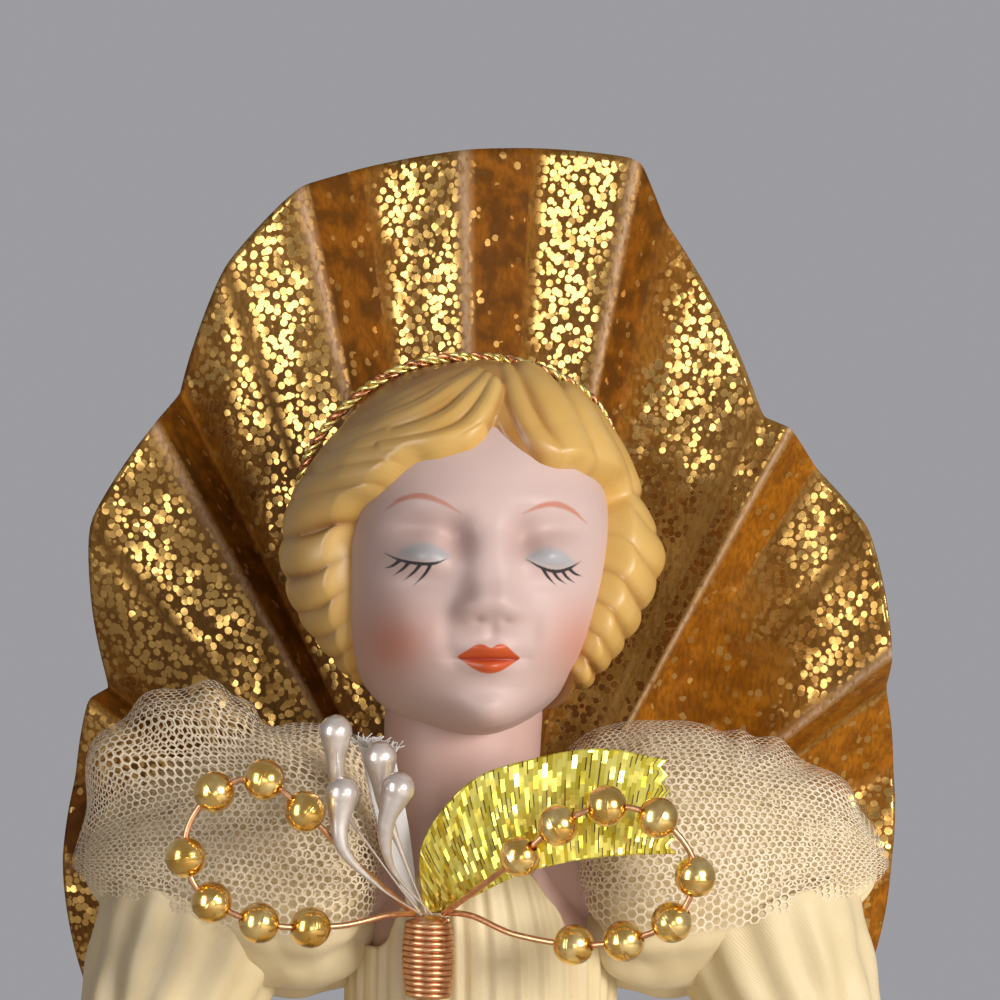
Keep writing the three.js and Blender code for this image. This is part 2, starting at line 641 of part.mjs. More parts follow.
function forearm() {
  const palm = FOREARM_LENGTH + HAND_LENGTH;
  const limb = lofted([
    ovalRing(0, FOREARM_RADIUS, FOREARM_RADIUS, 14),
    ovalRing(FOREARM_LENGTH / 2, FOREARM_RADIUS - 0.3, FOREARM_RADIUS - 0.3, 14),
    ovalRing(FOREARM_LENGTH, WRIST_RADIUS, WRIST_RADIUS - 0.2, 14),
    ovalRing(FOREARM_LENGTH + HAND_LENGTH * 0.35, WRIST_RADIUS + 0.7, WRIST_RADIUS - 0.6, 14),
    ovalRing(palm - 1.5, WRIST_RADIUS + 1.2, WRIST_RADIUS - 0.9, 14),
    ovalRing(palm, WRIST_RADIUS + 0.7, WRIST_RADIUS - 1.4, 14),
  ]);
  let solid = solidOf(limb);
  const digit = (start, end, bend, radius) => {
    const middle = start.clone().lerp(end, 0.55).add(point(0, bend, 0));
    const thickness = (share) => radius * (share > 0.95 ? 0.45 : 1 - 0.3 * share);
    return solidOf(taperedTube(spline(start, middle, end), thickness, [0, 0.35, 0.7, 0.9, 1], 7));
  };
  [-2.6, -0.9, 0.8, 2.4].forEach((x, finger) => {
    const length = FINGER_LENGTH * [0.78, 0.98, 1, 0.88][finger];
    const start = point(x, 0, palm - 2.2);
    const end = point(x * 1.18, -1.1, palm - 1 + length);
    solid = solid.add(digit(start, end, 0.5, 0.85));
  });
  const thumbStart = point(2, -0.3, FOREARM_LENGTH + 2.5);
  const thumbEnd = point(WRIST_RADIUS + 3, -1.2, palm + 0.5);
  solid = solid.add(digit(thumbStart, thumbEnd, -0.3, 0.95));
  const bore = new THREE.CylinderGeometry(WIRE_RADIUS + SEAT_GAP, WIRE_RADIUS + SEAT_GAP, 14, 12);
  solid = solid.subtract(solidOf(bore.rotateX(Math.PI / 2)));
  return geometryOf(solid).applyMatrix4(forearmFrame());
}

function sleeve() {
  const puff = new THREE.SphereGeometry(PUFF_RADIUS, 20, 12).rotateZ(Math.PI / 2);
  puff.scale(PUFF_HALF_LENGTH / PUFF_RADIUS, 1, 1).translate(puffCentre, 0, 0);
  const width = (share) => lerp(PUFF_RADIUS - 4, CUFF_RADIUS, share ** 0.8);
  const lower = taperedTube(sleeveRun, width, [0, 0.15, 0.3, 0.42, 0.53, 0.65, 0.8, 1], 14);
  const room = lofted([
    ovalRing(-SEAT_GAP, FOREARM_RADIUS + SEAT_GAP, FOREARM_RADIUS + SEAT_GAP, 14),
    ovalRing(FOREARM_LENGTH, FOREARM_RADIUS + SEAT_GAP, FOREARM_RADIUS + SEAT_GAP, 14),
  ]).applyMatrix4(forearmFrame());
  const cut = [rod(armWire, WIRE_RADIUS + SEAT_GAP, 20, 6), room, stub(2 * SEAT_GAP)];
  return geometryOf(cut.reduce(
    (solid, tool) => solid.subtract(solidOf(tool)),
    solidOf(puff).add(solidOf(lower)),
  ));
}

// Net over the puff, from the front edge over the top to the back, gathered in a few flutes.
function puffNet() {
  const [across, along] = [8, 20];
  const mouth = Math.acos(PUFF_NET_MOUTH / PUFF_RADIUS);
  const face = (out) => (i, j) => {
    const lengthwise = lerp(-mouth, mouth, i / across);
    const around = radians(lerp(-20, 180, j / along));
    const flute = PUFF_NET_FOLD_DEPTH * (1 + Math.cos(PUFF_NET_FOLDS * 2 * around));
    const radius = (PUFF_RADIUS + NET_GAP + flute + out) * Math.cos(lengthwise);
    const x = puffCentre + (PUFF_HALF_LENGTH + NET_GAP + out) * Math.sin(lengthwise);
    return point(x, -radius * Math.cos(around), radius * Math.sin(around));
  };
  return sheet(across, along, face(0), face(NET));
}

// Cord round the wrist, just beyond the cuff.
function wristCord() {
  const radius = FOREARM_RADIUS - 0.3 + SEAT_GAP + CORD_RADIUS;
  const ring = new THREE.TorusGeometry(radius, CORD_RADIUS, 6, 20);
  return ring.translate(0, 0, CUFF_OVERLAP + 4).applyMatrix4(forearmFrame());
}

const armPieces = [
  ["sleeve", sleeve, "satin"],
  ["puff_net", puffNet, "net"],
  ["arm_wire", () => rod(armWire, WIRE_RADIUS, 20, 6), "steel"],
  ["forearm", forearm, "bisque"],
  ["wrist_cord", wristCord, "braid"],
];
for (const [side, mirror] of [["left", 1], ["right", -1]]) {
  const arm = new THREE.Group();
  arm.position.z = shoulderZ;
  arm.scale.x = mirror;
  for (const [name, shape, finish] of armPieces) {
    arm.add(piece(`${side}_${name}`, shape(), finish));
  }
  angel.add(arm);
}

// Breast spray: everything springs from a wound binding that lies on the bodice's front.
const bodiceFrontAtBinding = bodiceBack
  * Math.sqrt(1 - (BINDING_X / (BUST_HALF_WIDTH + SEAT_GAP + CLOTH)) ** 2);
const binding = point(
  BINDING_X, -(bodiceFrontAtBinding + SEAT_GAP + BINDING_RADIUS), bustBottom + BINDING_RISE);
const sprayAt = (x, y, z) => point(x, y, z).add(binding);

function sprayBinding() {
  const bulge = BINDING_RADIUS - 0.5;
  const profile = [[0, -BINDING_HEIGHT], [bulge, -BINDING_HEIGHT], [BINDING_RADIUS, -BINDING_HEIGHT / 2],
    [bulge, 0], [0, 0]].map(([radius, rise]) => new THREE.Vector2(radius, rise));
  return new THREE.LatheGeometry(profile, 16).rotateX(Math.PI / 2).translate(...binding.toArray());
}
angel.add(piece("spray_binding", sprayBinding(), "copper"));

// Bead loops: a stiff wire bowed out of the binding and back, with beads threaded on it.
const SPRAY_LOOPS = {
  right: spline(
    sprayAt(-1.5, 0.3, SEAT_GAP), sprayAt(-4.5, -2.4, 3.2), sprayAt(-7.8, -6.4, 6.6),
    sprayAt(-11.3, -9, 10.5), sprayAt(-15.6, -8.8, 13.7), sprayAt(-19.9, -8.6, 12.5),
    sprayAt(-22.6, -8.6, 8.5), sprayAt(-21.6, -8.8, 3.4), sprayAt(-16, -8.6, 0.2),
    sprayAt(-8.5, -6, -0.4), sprayAt(-3.6, -3.2, 0.4), sprayAt(-1.3, -0.8, SEAT_GAP),
  ),
  left: spline(
    sprayAt(1.5, -0.6, SEAT_GAP), sprayAt(5.5, -5.5, 3.6), sprayAt(9, -9, 6.6),
    sprayAt(12.4, -10.6, 9.5), sprayAt(17.1, -10.9, 11.3), sprayAt(22.2, -10.6, 9.8),
    sprayAt(25.2, -10, 5.4), sprayAt(23.4, -9.4, 0.6), sprayAt(16.5, -7.6, -2),
    sprayAt(8.5, -4.4, -1.4), sprayAt(4, -1.2, 0.2), sprayAt(1.4, 0.7, SEAT_GAP),
  ),
};
const FIRST_BEAD = { right: 17.2, left: 12.6 };
const BEADS_TO_TOP = { right: 3, left: 4 };
const BEAD_TAIL = 11;

function bead(curve, distance) {
  const hole = SPRAY_WIRE_RADIUS + BEAD_HOLE_GAP;
  const edge = Math.acos(hole / BEAD_RADIUS);
  const profile = evenShares(6).map((share) => {
    const angle = lerp(-edge, edge, share);
    return new THREE.Vector2(BEAD_RADIUS * Math.cos(angle), BEAD_RADIUS * Math.sin(angle));
  });
  profile.push(profile[0].clone());
  const shape = new THREE.LatheGeometry(profile, 9);
  const share = distance / curve.getLength();
  const along = new THREE.Quaternion().setFromUnitVectors(point(0, 1, 0), curve.getTangentAt(share));
  return shape.applyQuaternion(along).translate(...curve.getPointAt(share).toArray());
}

for (const [side, curve] of Object.entries(SPRAY_LOOPS)) {
  angel.add(piece(`${side}_bead_wire`, rod(curve, SPRAY_WIRE_RADIUS, 36, 5), "copper"));
  const last = curve.getLength() - BEAD_TAIL;
  let distance = FIRST_BEAD[side];
  for (let number = 1; distance < last; number++) {
    angel.add(piece(`${side}_bead_${number}`, bead(curve, distance), "gold"));
    distance += BEAD_PITCH + (number === BEADS_TO_TOP[side] ? BEAD_SPACE_BELOW_TOP : 0);
  }
}

// Stamens: a stem from the binding that swells into a drop-shaped pearl.
const STAMENS = [
  [
    sprayAt(-0.9, 1.2, SEAT_GAP), sprayAt(-4.6, -1.6, 5.5), sprayAt(-8.2, -4.6, 11.5),
    sprayAt(-8.7, -5.9, 19.6),
  ],
  [
    sprayAt(-0.6, -1.5, SEAT_GAP), sprayAt(-4.6, -6.2, 3.4), sprayAt(-8, -8, 7.4),
    sprayAt(-7.8, -8, 13.9),
  ],
  [
    sprayAt(0.4, -1.7, SEAT_GAP), sprayAt(-3.4, -5.4, 5.2), sprayAt(-3.9, -6.9, 9),
    sprayAt(-2.1, -7.6, 14.2),
  ],
  [
    sprayAt(-0.2, 0, SEAT_GAP), sprayAt(-2.4, -1.9, 6), sprayAt(-4.1, -2.9, 11),
    sprayAt(-4.6, -3.4, 17),
  ],
];

function stamen(points) {
  const curve = spline(...points);
  const length = curve.getLength();
  const width = (share) => {
    const fromTip = (1 - share) * length / PEARL_LENGTH;
    const drop = fromTip < 0.25 ? Math.sqrt(Math.max(0.02, 1 - (1 - fromTip / 0.25) ** 2))
      : Math.cos((fromTip - 0.25) / 0.75 * Math.PI / 2) ** 0.8;
    return fromTip > 1 ? STEM_RADIUS : Math.max(STEM_RADIUS, PEARL_RADIUS * drop);
  };
  const steps = [1, 0.8, 0.6, 0.42, 0.27, 0.16, 0.08, 0.02, 0];
  const pearl = steps.map((share) => 1 - share * PEARL_LENGTH / length);
  const stem = evenShares(5).map((share) => share * (pearl[0] - 0.02));
  return taperedTube(curve, width, [...stem, ...pearl], 8);
}
STAMENS.forEach((points, number) => {
  angel.add(piece(`pearl_stamen_${number + 1}`, stamen(points), "pearl"));
});

// Ribbons of the spray: a strip between two edges, given thickness towards the back.
function strip(leftEdge, rightEdge, steps) {
  const front = (i, j) => leftEdge.getPointAt(i / steps).lerp(rightEdge.getPointAt(i / steps), j / 3);
  const back = (i, j) => front(i, j).add(point(0, RIBBON, 0));
  return sheet(steps, 3, front, back);
}
const ribbonUpper = spline(
  sprayAt(-0.4, 1.2, SEAT_GAP), sprayAt(-0.5, -1.4, 7), sprayAt(4.2, -3.8, 13.2),
  sprayAt(9.5, -4.6, 15.2), sprayAt(16.4, -5, 16.3), sprayAt(22.8, -4.4, 15.2),
);
const ribbonLower = spline(
  sprayAt(1.2, 1.2, SEAT_GAP), sprayAt(3, -2, 4), sprayAt(7.2, -4.6, 6.9), sprayAt(12, -5.9, 8),
  sprayAt(17.5, -6.2, 7.9), sprayAt(23.6, -5.6, 7),
);
const tabLeft = spline(sprayAt(-1.7, 1.6, SEAT_GAP), sprayAt(-4, 0.8, 8), sprayAt(-5.6, -0.6, 16.5));
const tabRight = spline(sprayAt(-0.9, 1.9, SEAT_GAP), sprayAt(-0.9, 0.9, 8), sprayAt(-2, -0.6, 15.6));
angel.add(piece("gold_ribbon", strip(ribbonUpper, ribbonLower, 12), "lurex"));
angel.add(piece("white_ribbon_tab", strip(tabLeft, tabRight, 5), "satin"));

export default angel;
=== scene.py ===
import bpy
import numpy as np
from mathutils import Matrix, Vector


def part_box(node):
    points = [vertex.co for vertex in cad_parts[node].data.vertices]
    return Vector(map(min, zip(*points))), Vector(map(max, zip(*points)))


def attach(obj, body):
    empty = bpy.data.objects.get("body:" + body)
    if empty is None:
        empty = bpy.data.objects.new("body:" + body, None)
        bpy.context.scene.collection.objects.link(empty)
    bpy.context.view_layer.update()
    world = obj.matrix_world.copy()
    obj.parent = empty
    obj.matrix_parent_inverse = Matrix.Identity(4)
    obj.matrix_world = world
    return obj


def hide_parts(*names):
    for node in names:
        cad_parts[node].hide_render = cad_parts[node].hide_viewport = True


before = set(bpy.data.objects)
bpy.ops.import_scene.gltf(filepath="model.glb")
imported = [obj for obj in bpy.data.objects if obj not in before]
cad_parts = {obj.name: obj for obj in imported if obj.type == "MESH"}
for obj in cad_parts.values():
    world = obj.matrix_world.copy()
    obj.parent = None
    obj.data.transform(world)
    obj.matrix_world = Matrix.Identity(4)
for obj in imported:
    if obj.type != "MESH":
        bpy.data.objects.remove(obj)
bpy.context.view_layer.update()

# Camera, light and floor. The camera stands level with the face and 465 mm in front of it, as the
# photograph's does. Soft lamps light the front, a strip at the side shows only in what shines, and the
# grey wall behind is the world's own colour.
CAMERA_PLACE = (0.0019, -0.465, 0.1909)
CAMERA_LENS = 169.6
SENSOR_WIDTH = 36
WALL = (0.335, 0.331, 0.350, 1)
AMBIENT = (0.217, 0.189, 0.178, 1)
FACE_MIDDLE = (0, 0, 0.19)
FLOOR_RINGS = (10, 200, 500, 900)
FLOOR_SIDES = 96
PAPER_DEEP = (0.79, 0.78, 0.78, 1)
PAPER_PALE = (0.84, 0.83, 0.83, 1)


class Wire:
    """A node's output socket. Sums on it add Math nodes to its tree, and node() adds any other."""

    def __init__(self, tree, socket=None):
        self.tree = tree
        self.socket = socket

    def node(self, kind, settings=None, sockets=None, out=0):
        """Adds a node of that kind, sets its settings, then its sockets, and gives one output."""
        made = self.tree.nodes.new("ShaderNode" + kind)
        for name, value in (settings or {}).items():
            setattr(made, name, value)
        for name, value in (sockets or {}).items():
            if isinstance(value, Wire):
                self.tree.links.new(value.socket, made.inputs[name])
            else:
                made.inputs[name].default_value = value
        return Wire(self.tree, made.outputs[out])

    def math(self, operation, *values):
        """A sum of that kind on the values."""
        return self.node("Math", {"operation": operation}, dict(enumerate(values)))

    def vector(self, operation, sockets):
        """A sum of that kind on vectors."""
        return self.node("VectorMath", {"operation": operation}, sockets)

    def part(self, name):
        """One part of a vector (X, Y or Z) or of a colour (Red, Green or Blue)."""
        return self.node("SeparateXYZ" if name in "XYZ" else "SeparateColor", None, {0: self}, name)

    def __add__(self, other):
        return self.math("ADD", self, other)

    __radd__ = __add__

    def __sub__(self, other):
        return self.math("SUBTRACT", self, other)

    def __rsub__(self, other):
        return self.math("SUBTRACT", other, self)

    def __mul__(self, other):
        return self.math("MULTIPLY", self, other)

    __rmul__ = __mul__

    def __truediv__(self, other):
        return self.math("DIVIDE", self, other)

    def feed(self, shader, socket):
        """Links this output to a shader's socket."""
        self.tree.links.new(self.socket, shader.inputs[socket])


def between(factor, first, second):
    """The colour that lies between first and second by factor."""
    return factor.node("Mix", {"data_type": "RGBA"}, {0: factor, 6: first, 7: second}, 2)


camera = bpy.data.objects.new("camera", bpy.data.cameras.new("camera"))
camera.data.lens = CAMERA_LENS
camera.data.sensor_width = SENSOR_WIDTH
camera.data.clip_start = 0.02
camera.location = CAMERA_PLACE
camera.rotation_euler = (np.pi / 2, 0, 0)
bpy.context.collection.objects.link(camera)
bpy.context.scene.camera = camera
bpy.context.scene.view_settings.view_transform = "Standard"

world = bpy.data.worlds.new("grey wall")
world.use_nodes = True
bpy.context.scene.world = world
sky = Wire(world.node_tree)
seen = sky.node("LightPath", out="Is Camera Ray")
for ray in ("Is Glossy Ray", "Is Transmission Ray"):
    seen = seen.math("MAXIMUM", seen, sky.node("LightPath", out=ray))
between(seen, AMBIENT, WALL).feed(world.node_tree.nodes["Background"], "Color")


def soft_lamp(name, place, wide, tall, power, colour):
    """An area lamp that faces the middle of the face from its place."""
    lamp = bpy.data.objects.new(name, bpy.data.lights.new(name, "AREA"))
    lamp.data.shape = "RECTANGLE"
    lamp.data.size = wide
    lamp.data.size_y = tall
    lamp.data.energy = power
    lamp.data.color = colour
    lamp.location = place
    lamp.rotation_euler = (Vector(FACE_MIDDLE) - Vector(place)).to_track_quat("-Z", "Y").to_euler()
    bpy.context.collection.objects.link(lamp)
    return lamp


soft_lamp("window lamp", (0.45, -0.52, 0.31), 0.26, 0.26, 4.2, (1, 0.96, 0.93))
side_strip = soft_lamp("side strip", (-0.495, -0.495, 0.23), 0.24, 0.70, 3.8, (0.97, 0.98, 1))
side_strip.visible_diffuse = False
soft_lamp("table glow", (0.10, -0.62, 0.14), 0.16, 0.16, 0.3, (1, 0.95, 0.9))


def whole_turn(count):
    """Evenly spaced angles of one turn, without its end."""
    return np.linspace(0, 2 * np.pi, count, endpoint=False)


def upright_rings(radius, angle, height):
    """Points at a radius and an angle about the upright, at a height."""
    return np.stack(np.broadcast_arrays(radius * np.cos(angle), radius * np.sin(angle), height), -1)


def grid_quads(rows, columns, ring=False):
    """Corners of the quads of a grid of points in rows; ring joins the last column to the first."""
    across = np.arange(columns if ring else columns - 1)
    row, column = np.meshgrid(np.arange(rows - 1), across, indexing="ij")
    beside = (column + 1) % columns
    corners = [row * columns + column, row * columns + beside,
               (row + 1) * columns + beside, (row + 1) * columns + column]
    return np.stack(corners, -1).reshape(-1, 4)


def finish(name, constants, where=("TexCoord", "Object")):
    """A material with one Principled shader and its constants: the material, the shader, and where on
    the piece a point is."""
    material = bpy.data.materials.new(name)
    material.use_nodes = True
    shader = material.node_tree.nodes["Principled BSDF"]
    for socket, value in constants.items():
        shader.inputs[socket].default_value = value
    return material, shader, Wire(material.node_tree).node(where[0], out=where[1])


def noise(place, scale, detail=2.0, out=0):
    """Cloudy noise over a place; a larger scale makes it finer, and detail adds finer waves."""
    return place.node("TexNoise", None, {"Vector": place, "Scale": scale, "Detail": detail}, out)


def add_piece(name, points, faces, material, marks=None, uv=None, closed=True):
    """A smooth mesh from points in millimetres. A closed one has its faces turned outward by the sign
    of its volume; marks are numbers per point, and uv gives each corner its place on the cloth."""
    points = np.reshape(points, (-1, 3)) * 0.001
    if closed:
        first, second, third, last = (np.concatenate([points[part[:, corner]] for part in faces])
                                      for corner in (0, 1, 2, -1))
        volume = (first * (np.cross(second, third) + np.cross(third, last))).sum()
        faces = [part[:, ::-1] for part in faces] if volume < 0 else faces
    mesh = bpy.data.meshes.new(name)
    mesh.from_pydata(points.tolist(), [], [corners for part in faces for corners in part.tolist()])
    mesh.polygons.foreach_set("use_smooth", np.ones(len(mesh.polygons), bool))
    for mark_name, values in (marks or {}).items():
        mesh.attributes.new(mark_name, "FLOAT", "POINT").data.foreach_set("value", np.ravel(values))
    if uv is not None:
        mesh.uv_layers.new(name="cloth").data.foreach_set("uv", np.ravel(uv))
    mesh.materials.append(material)
    piece = bpy.data.objects.new(name, mesh)
    bpy.context.collection.objects.link(piece)
    return piece


floor_points = upright_rings(np.array(FLOOR_RINGS)[:, None], whole_turn(FLOOR_SIDES), 0)
floor_faces = [grid_quads(len(FLOOR_RINGS), FLOOR_SIDES, True), np.arange(FLOOR_SIDES)[None, ::-1]]
paper, paper_shader, place = finish("pale paper floor", {"Roughness": 0.9, "Specular IOR Level": 0.1})
between(noise(place, 60.0), PAPER_DEEP, PAPER_PALE).feed(paper_shader, "Base Color")
add_piece("floor", floor_points, floor_faces, paper, closed=False)

# Card cone. A sheet of brown card rolled into an open cone and glued; the figure stands on its lower
# edge and every other piece hangs on it. Its node is kept and gets a fibrous card finish.
CARD_DEEP = (0.36, 0.24, 0.13, 1)
CARD_PALE = (0.58, 0.43, 0.27, 1)


def emboss(height, strength, shader, depth=0.0001):
    """Small relief in a shader's normal, from a height."""
    height.node("Bump", None, {"Height": height, "Strength": strength, "Distance": depth}).feed(
        shader, "Normal")


card, card_shader, place = finish("brown card", {"Roughness": 0.85, "Specular IOR Level": 0.25})
fibre_place = place.node("Mapping", None, {"Vector": place, "Scale": (900.0, 900.0, 160.0)})
fibres = noise(fibre_place, 1.0, 4.0)
between(fibres * 0.7 + noise(place, 420.0) * 0.3, CARD_DEEP, CARD_PALE).feed(card_shader, "Base Color")
emboss(fibres, 0.3, card_shader, 0.0002)
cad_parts["card_cone"].material_slots[0].material = card

# Shoulder plate and neck. Part of the bisque casting: a hollow plate that sits over the cone's top, a
# stub at each shoulder with a bore for the arm's wire, and a round neck that runs up into the head.
CONE_TOP = 150
BUST_BOTTOM = 138
SHOULDER_HEIGHT = 155
CHIN_HEIGHT = 168
NECK_TOP = 176

# Ovals of the neck and plate, then of the socket inside: height, half-width, half-depth, middle x and y
BUST_LEVELS = np.array([
    [BUST_BOTTOM, 12, 10.2, 0, 0], [142, 12, 10.2, 0, 0], [147.5, 11.8, 10.1, 0, 0],
    [152, 10.8, 9.6, -0.3, 0], [156.5, 9.0, 8.8, -0.8, 0], [160, 7.9, 8.0, -1.4, 0],
    [163, 7.5, 7.6, -1.7, 0], [166.5, 7.7, 7.6, -1.8, 0.2], [170, 7.8, 7.6, -1.7, 0.4],
    [NECK_TOP, 7.6, 7.4, -1.4, 0.6]])
SOCKET_LEVELS = [[BUST_BOTTOM, 7.5, 7.5, 0, 0], [144, 5.9, 5.9, 0, 0], [150.3, 4.3, 4.3, 0, 0]]
BISQUE_DEEP = (0.60, 0.445, 0.41, 1)
BISQUE_PALE = (0.64, 0.485, 0.45, 1)
BLUSH = (0.60, 0.21, 0.12, 1)
PAINTED_SHADE_COLOUR = (0.40, 0.23, 0.19, 1)
BROW_PAINT = (0.50, 0.15, 0.075, 1)
LID_PAINT = (0.40, 0.415, 0.435, 1)
LASH_PAINT = (0.035, 0.03, 0.035, 1)
LIP_PAINT = (0.56, 0.09, 0.02, 1)
LIP_PARTING = (0.33, 0.03, 0.012, 1)
# Painted reflected light: a thin warm blush on the neck and forearms, for light bounced up from the gold
# cloth
WARM_BOUNCE_BLUSH = 0.3


def eased(at, stations, values):
    """A smooth curve through values at stations: cubics whose slopes are those between neighbours."""
    stations = np.asarray(stations, float)
    values = np.asarray(values, float)
    slopes = np.gradient(values, stations, axis=0)
    left = np.clip(np.searchsorted(stations, at) - 1, 0, len(stations) - 2)
    span = stations[left + 1] - stations[left]
    t = np.clip((at - stations[left]) / span, 0, 1)
    if values.ndim > 1:
        span, t = span[..., None], t[..., None]
    return ((1 + 2 * t) * (1 - t) ** 2 * values[left] + t * (1 - t) ** 2 * span * slopes[left]
            + t ** 2 * (3 - 2 * t) * values[left + 1] + t ** 2 * (t - 1) * span * slopes[left + 1])


def capped(rings):
    """Points and faces of rings joined in order, with a fan of triangles closing each end."""
    rows, sides = rings.shape[:2]
    points = np.concatenate([rings.reshape(-1, 3), rings[:1].mean(1), rings[-1:].mean(1)])
    side = np.arange(sides)
    beside = (side + 1) % sides
    last = (rows - 1) * sides
    first_fan = np.stack([np.full(sides, rows * sides), beside, side], -1)
    last_fan = np.stack([np.full(sides, rows * sides + 1), last + side, last + beside], -1)
    return points, [grid_quads(rows, sides, True), first_fan, last_fan]


def joined(*parts):
    """Several closed meshes as the points and faces of one."""
    points, faces, count = [], [], 0
    for part_points, part_faces in parts:
        points.append(part_points)
        faces += [corners + count for corners in part_faces]
        count += len(part_points)
    return np.concatenate(points), faces


def oval_rings(levels, sides):
    """Level ovals: each level gives height, half-width, half-depth and the middle's x and y."""
    height, width, depth, middle_x, middle_y = np.asarray(levels, float).T[:, :, None]
    angle = whole_turn(sides)
    return np.stack([middle_x + width * np.cos(angle), middle_y + depth * np.sin(angle),
                     height + 0 * angle], -1)


def stub_rings(side):
    """A shoulder stub: a rounded taper turned about the shoulder line, then back in as a wire bore."""
    reach = np.array([4, 10, 14, 16.6, 17.7, 18, 18, 17.6, 13.4])[:, None]
    radius = np.array([6.5, 6.4, 5.6, 5.0, 4.4, 3.6, 1.3, 1.1, 1.1])[:, None]
    angle = whole_turn(40)
    return np.stack([side * reach + 0 * angle, radius * np.cos(angle),
                     SHOULDER_HEIGHT + radius * np.sin(angle)], -1)


def step(value, low, high):
    """A smooth step: 0 where value is below low, 1 where it is above high."""
    return value.node("MapRange", {"interpolation_type": "SMOOTHSTEP"}, {0: value, 1: low, 2: high})


def mark(place, name):
    """A piece's own numbers of that name, one per point."""
    return place.node("Attribute", {"attribute_name": name}, out="Fac")


def unpainted(points):
    """Marks for bisque without strokes: every point lies far outside them, under a thin even blush
    that is painted warm light, bounced up from the gold cloth below.
    """
    marks = {name: np.full(len(points), -1.0) for name in ("brow", "lash", "lid", "lip")}
    return marks | {"blush": np.full(len(points), WARM_BOUNCE_BLUSH)}


def settle(piece, body, node):
    """Fixes a piece to its body and hides the CAD node that it takes the place of."""
    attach(piece, body)
    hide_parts(node)


bisque, bisque_shader, place = finish("painted bisque", {
    "Specular IOR Level": 0.4, "Subsurface Weight": 0.12, "Subsurface Radius": (1.0, 0.5, 0.35),
    "Subsurface Scale": 0.0012})
mottle = noise(place, 210.0, 3.0)
pores = noise(place, 2600.0)
lid = step(mark(place, "lid"), -0.2, 0.75)
brow = step(mark(place, "brow"), -0.12, 0.16)
lip = step(mark(place, "lip"), -0.08, 0.10)
lash = step(mark(place, "lash"), -0.06, 0.07)
skin = between(mottle, BISQUE_DEEP, BISQUE_PALE)
colour = between(step(mark(place, "blush"), 0.0, 1.0), skin, BLUSH)
# Painted shade: the shade patches darken the eye sockets, the nose's side and the nostrils
colour = between(mark(place, "shade"), colour, PAINTED_SHADE_COLOUR)
colour = between(lid * 0.9, colour, LID_PAINT)
colour = between(brow * (0.5 + mottle * 0.5), colour, BROW_PAINT)
colour = between(lip, colour, between(mark(place, "lip_line"), LIP_PAINT, LIP_PARTING))
between(lash, colour, LASH_PAINT).feed(bisque_shader, "Base Color")
(0.50 - lip * 0.14 - lid * 0.12 + (pores - 0.5) * 0.12).feed(bisque_shader, "Roughness")
emboss(pores, 0.08, bisque_shader)

bust_heights = np.linspace(NECK_TOP, BUST_BOTTOM, 64)
bust_outside = eased(bust_heights, BUST_LEVELS[:, 0], BUST_LEVELS)
bust_rings = np.concatenate([oval_rings(bust_outside, 96), oval_rings(SOCKET_LEVELS, 96)])
bust_points, bust_faces = joined(capped(bust_rings), capped(stub_rings(1)), capped(stub_rings(-1)))
neck = add_piece("neck_and_shoulder_plate", bust_points, bust_faces, bisque, unpainted(bust_points))
settle(neck, "figure", "porcelain_head")

# Face. The front of the bisque head, slip-cast and hand-painted: closed eyes with pale lids and drawn
# lashes, thin brows, small red lips and blushed cheeks. The head is turned a little to its left.
HEAD_TURN = np.radians(7)
HEAD_SHIFT = -0.65
FACE_RISE = 17
FACE_HALF_WIDTH = 13.4
FACE_DEPTH = 15.3
SKULL_DEPTH = 12.2
CROWN_RISE = 18.6
SQUARENESS = 2.25
JAW_LEAN = 1.2
JAW_TOP = 20
CHIN_DROP = 1.1
CHIN_SPAN = 6
FACE_COLUMNS = 420

# Swellings of the face: x, height above the chin, half-width, half-height, how far out
MIDDLE_FORMS = [
    (0, 2.4, 4.3, 2.6, 4.1), (0, 4.9, 3.0, 0.9, -0.4), (0, 7.4, 5.4, 3.4, 1.1),
    (-0.2, 8.7, 2.1, 0.7, 0.75), (-0.2, 6.85, 1.8, 0.75, 0.85), (-0.2, 7.68, 2.7, 0.22, -0.4),
    (-0.1, 10.5, 0.6, 1.0, -0.3), (0.2, 12.8, 1.4, 1.5, 0.35), (0, 20.6, 2.2, 1.8, -0.25),
    (0, 26.0, 8, 4.5, 0.35),
]
PAIRED_FORMS = [
    (1.2, 13.1, 1.6, 2.0, 1.45), (1.05, 16.3, 1.5, 4.0, 0.95), (2.7, 12.5, 1.2, 1.1, 0.72),
    (1.3, 11.5, 0.6, 0.45, -0.25), (3.2, 19.1, 1.7, 1.9, -1.5),
    (6.6, 20.3, 3.2, 1.2, -0.75), (6.3, 17.5, 2.5, 1.4, 1.05), (6.2, 15.2, 3.0, 1.0, -0.4),
    (6.3, 22.9, 4.0, 1.4, 0.35), (7.4, 10.0, 3.9, 4.0, 0.9), (4.1, 10.2, 1.0, 2.2, -0.3),
    (3.4, 7.7, 0.8, 0.9, -0.28),
]
PAIR_MIDDLE = -0.2

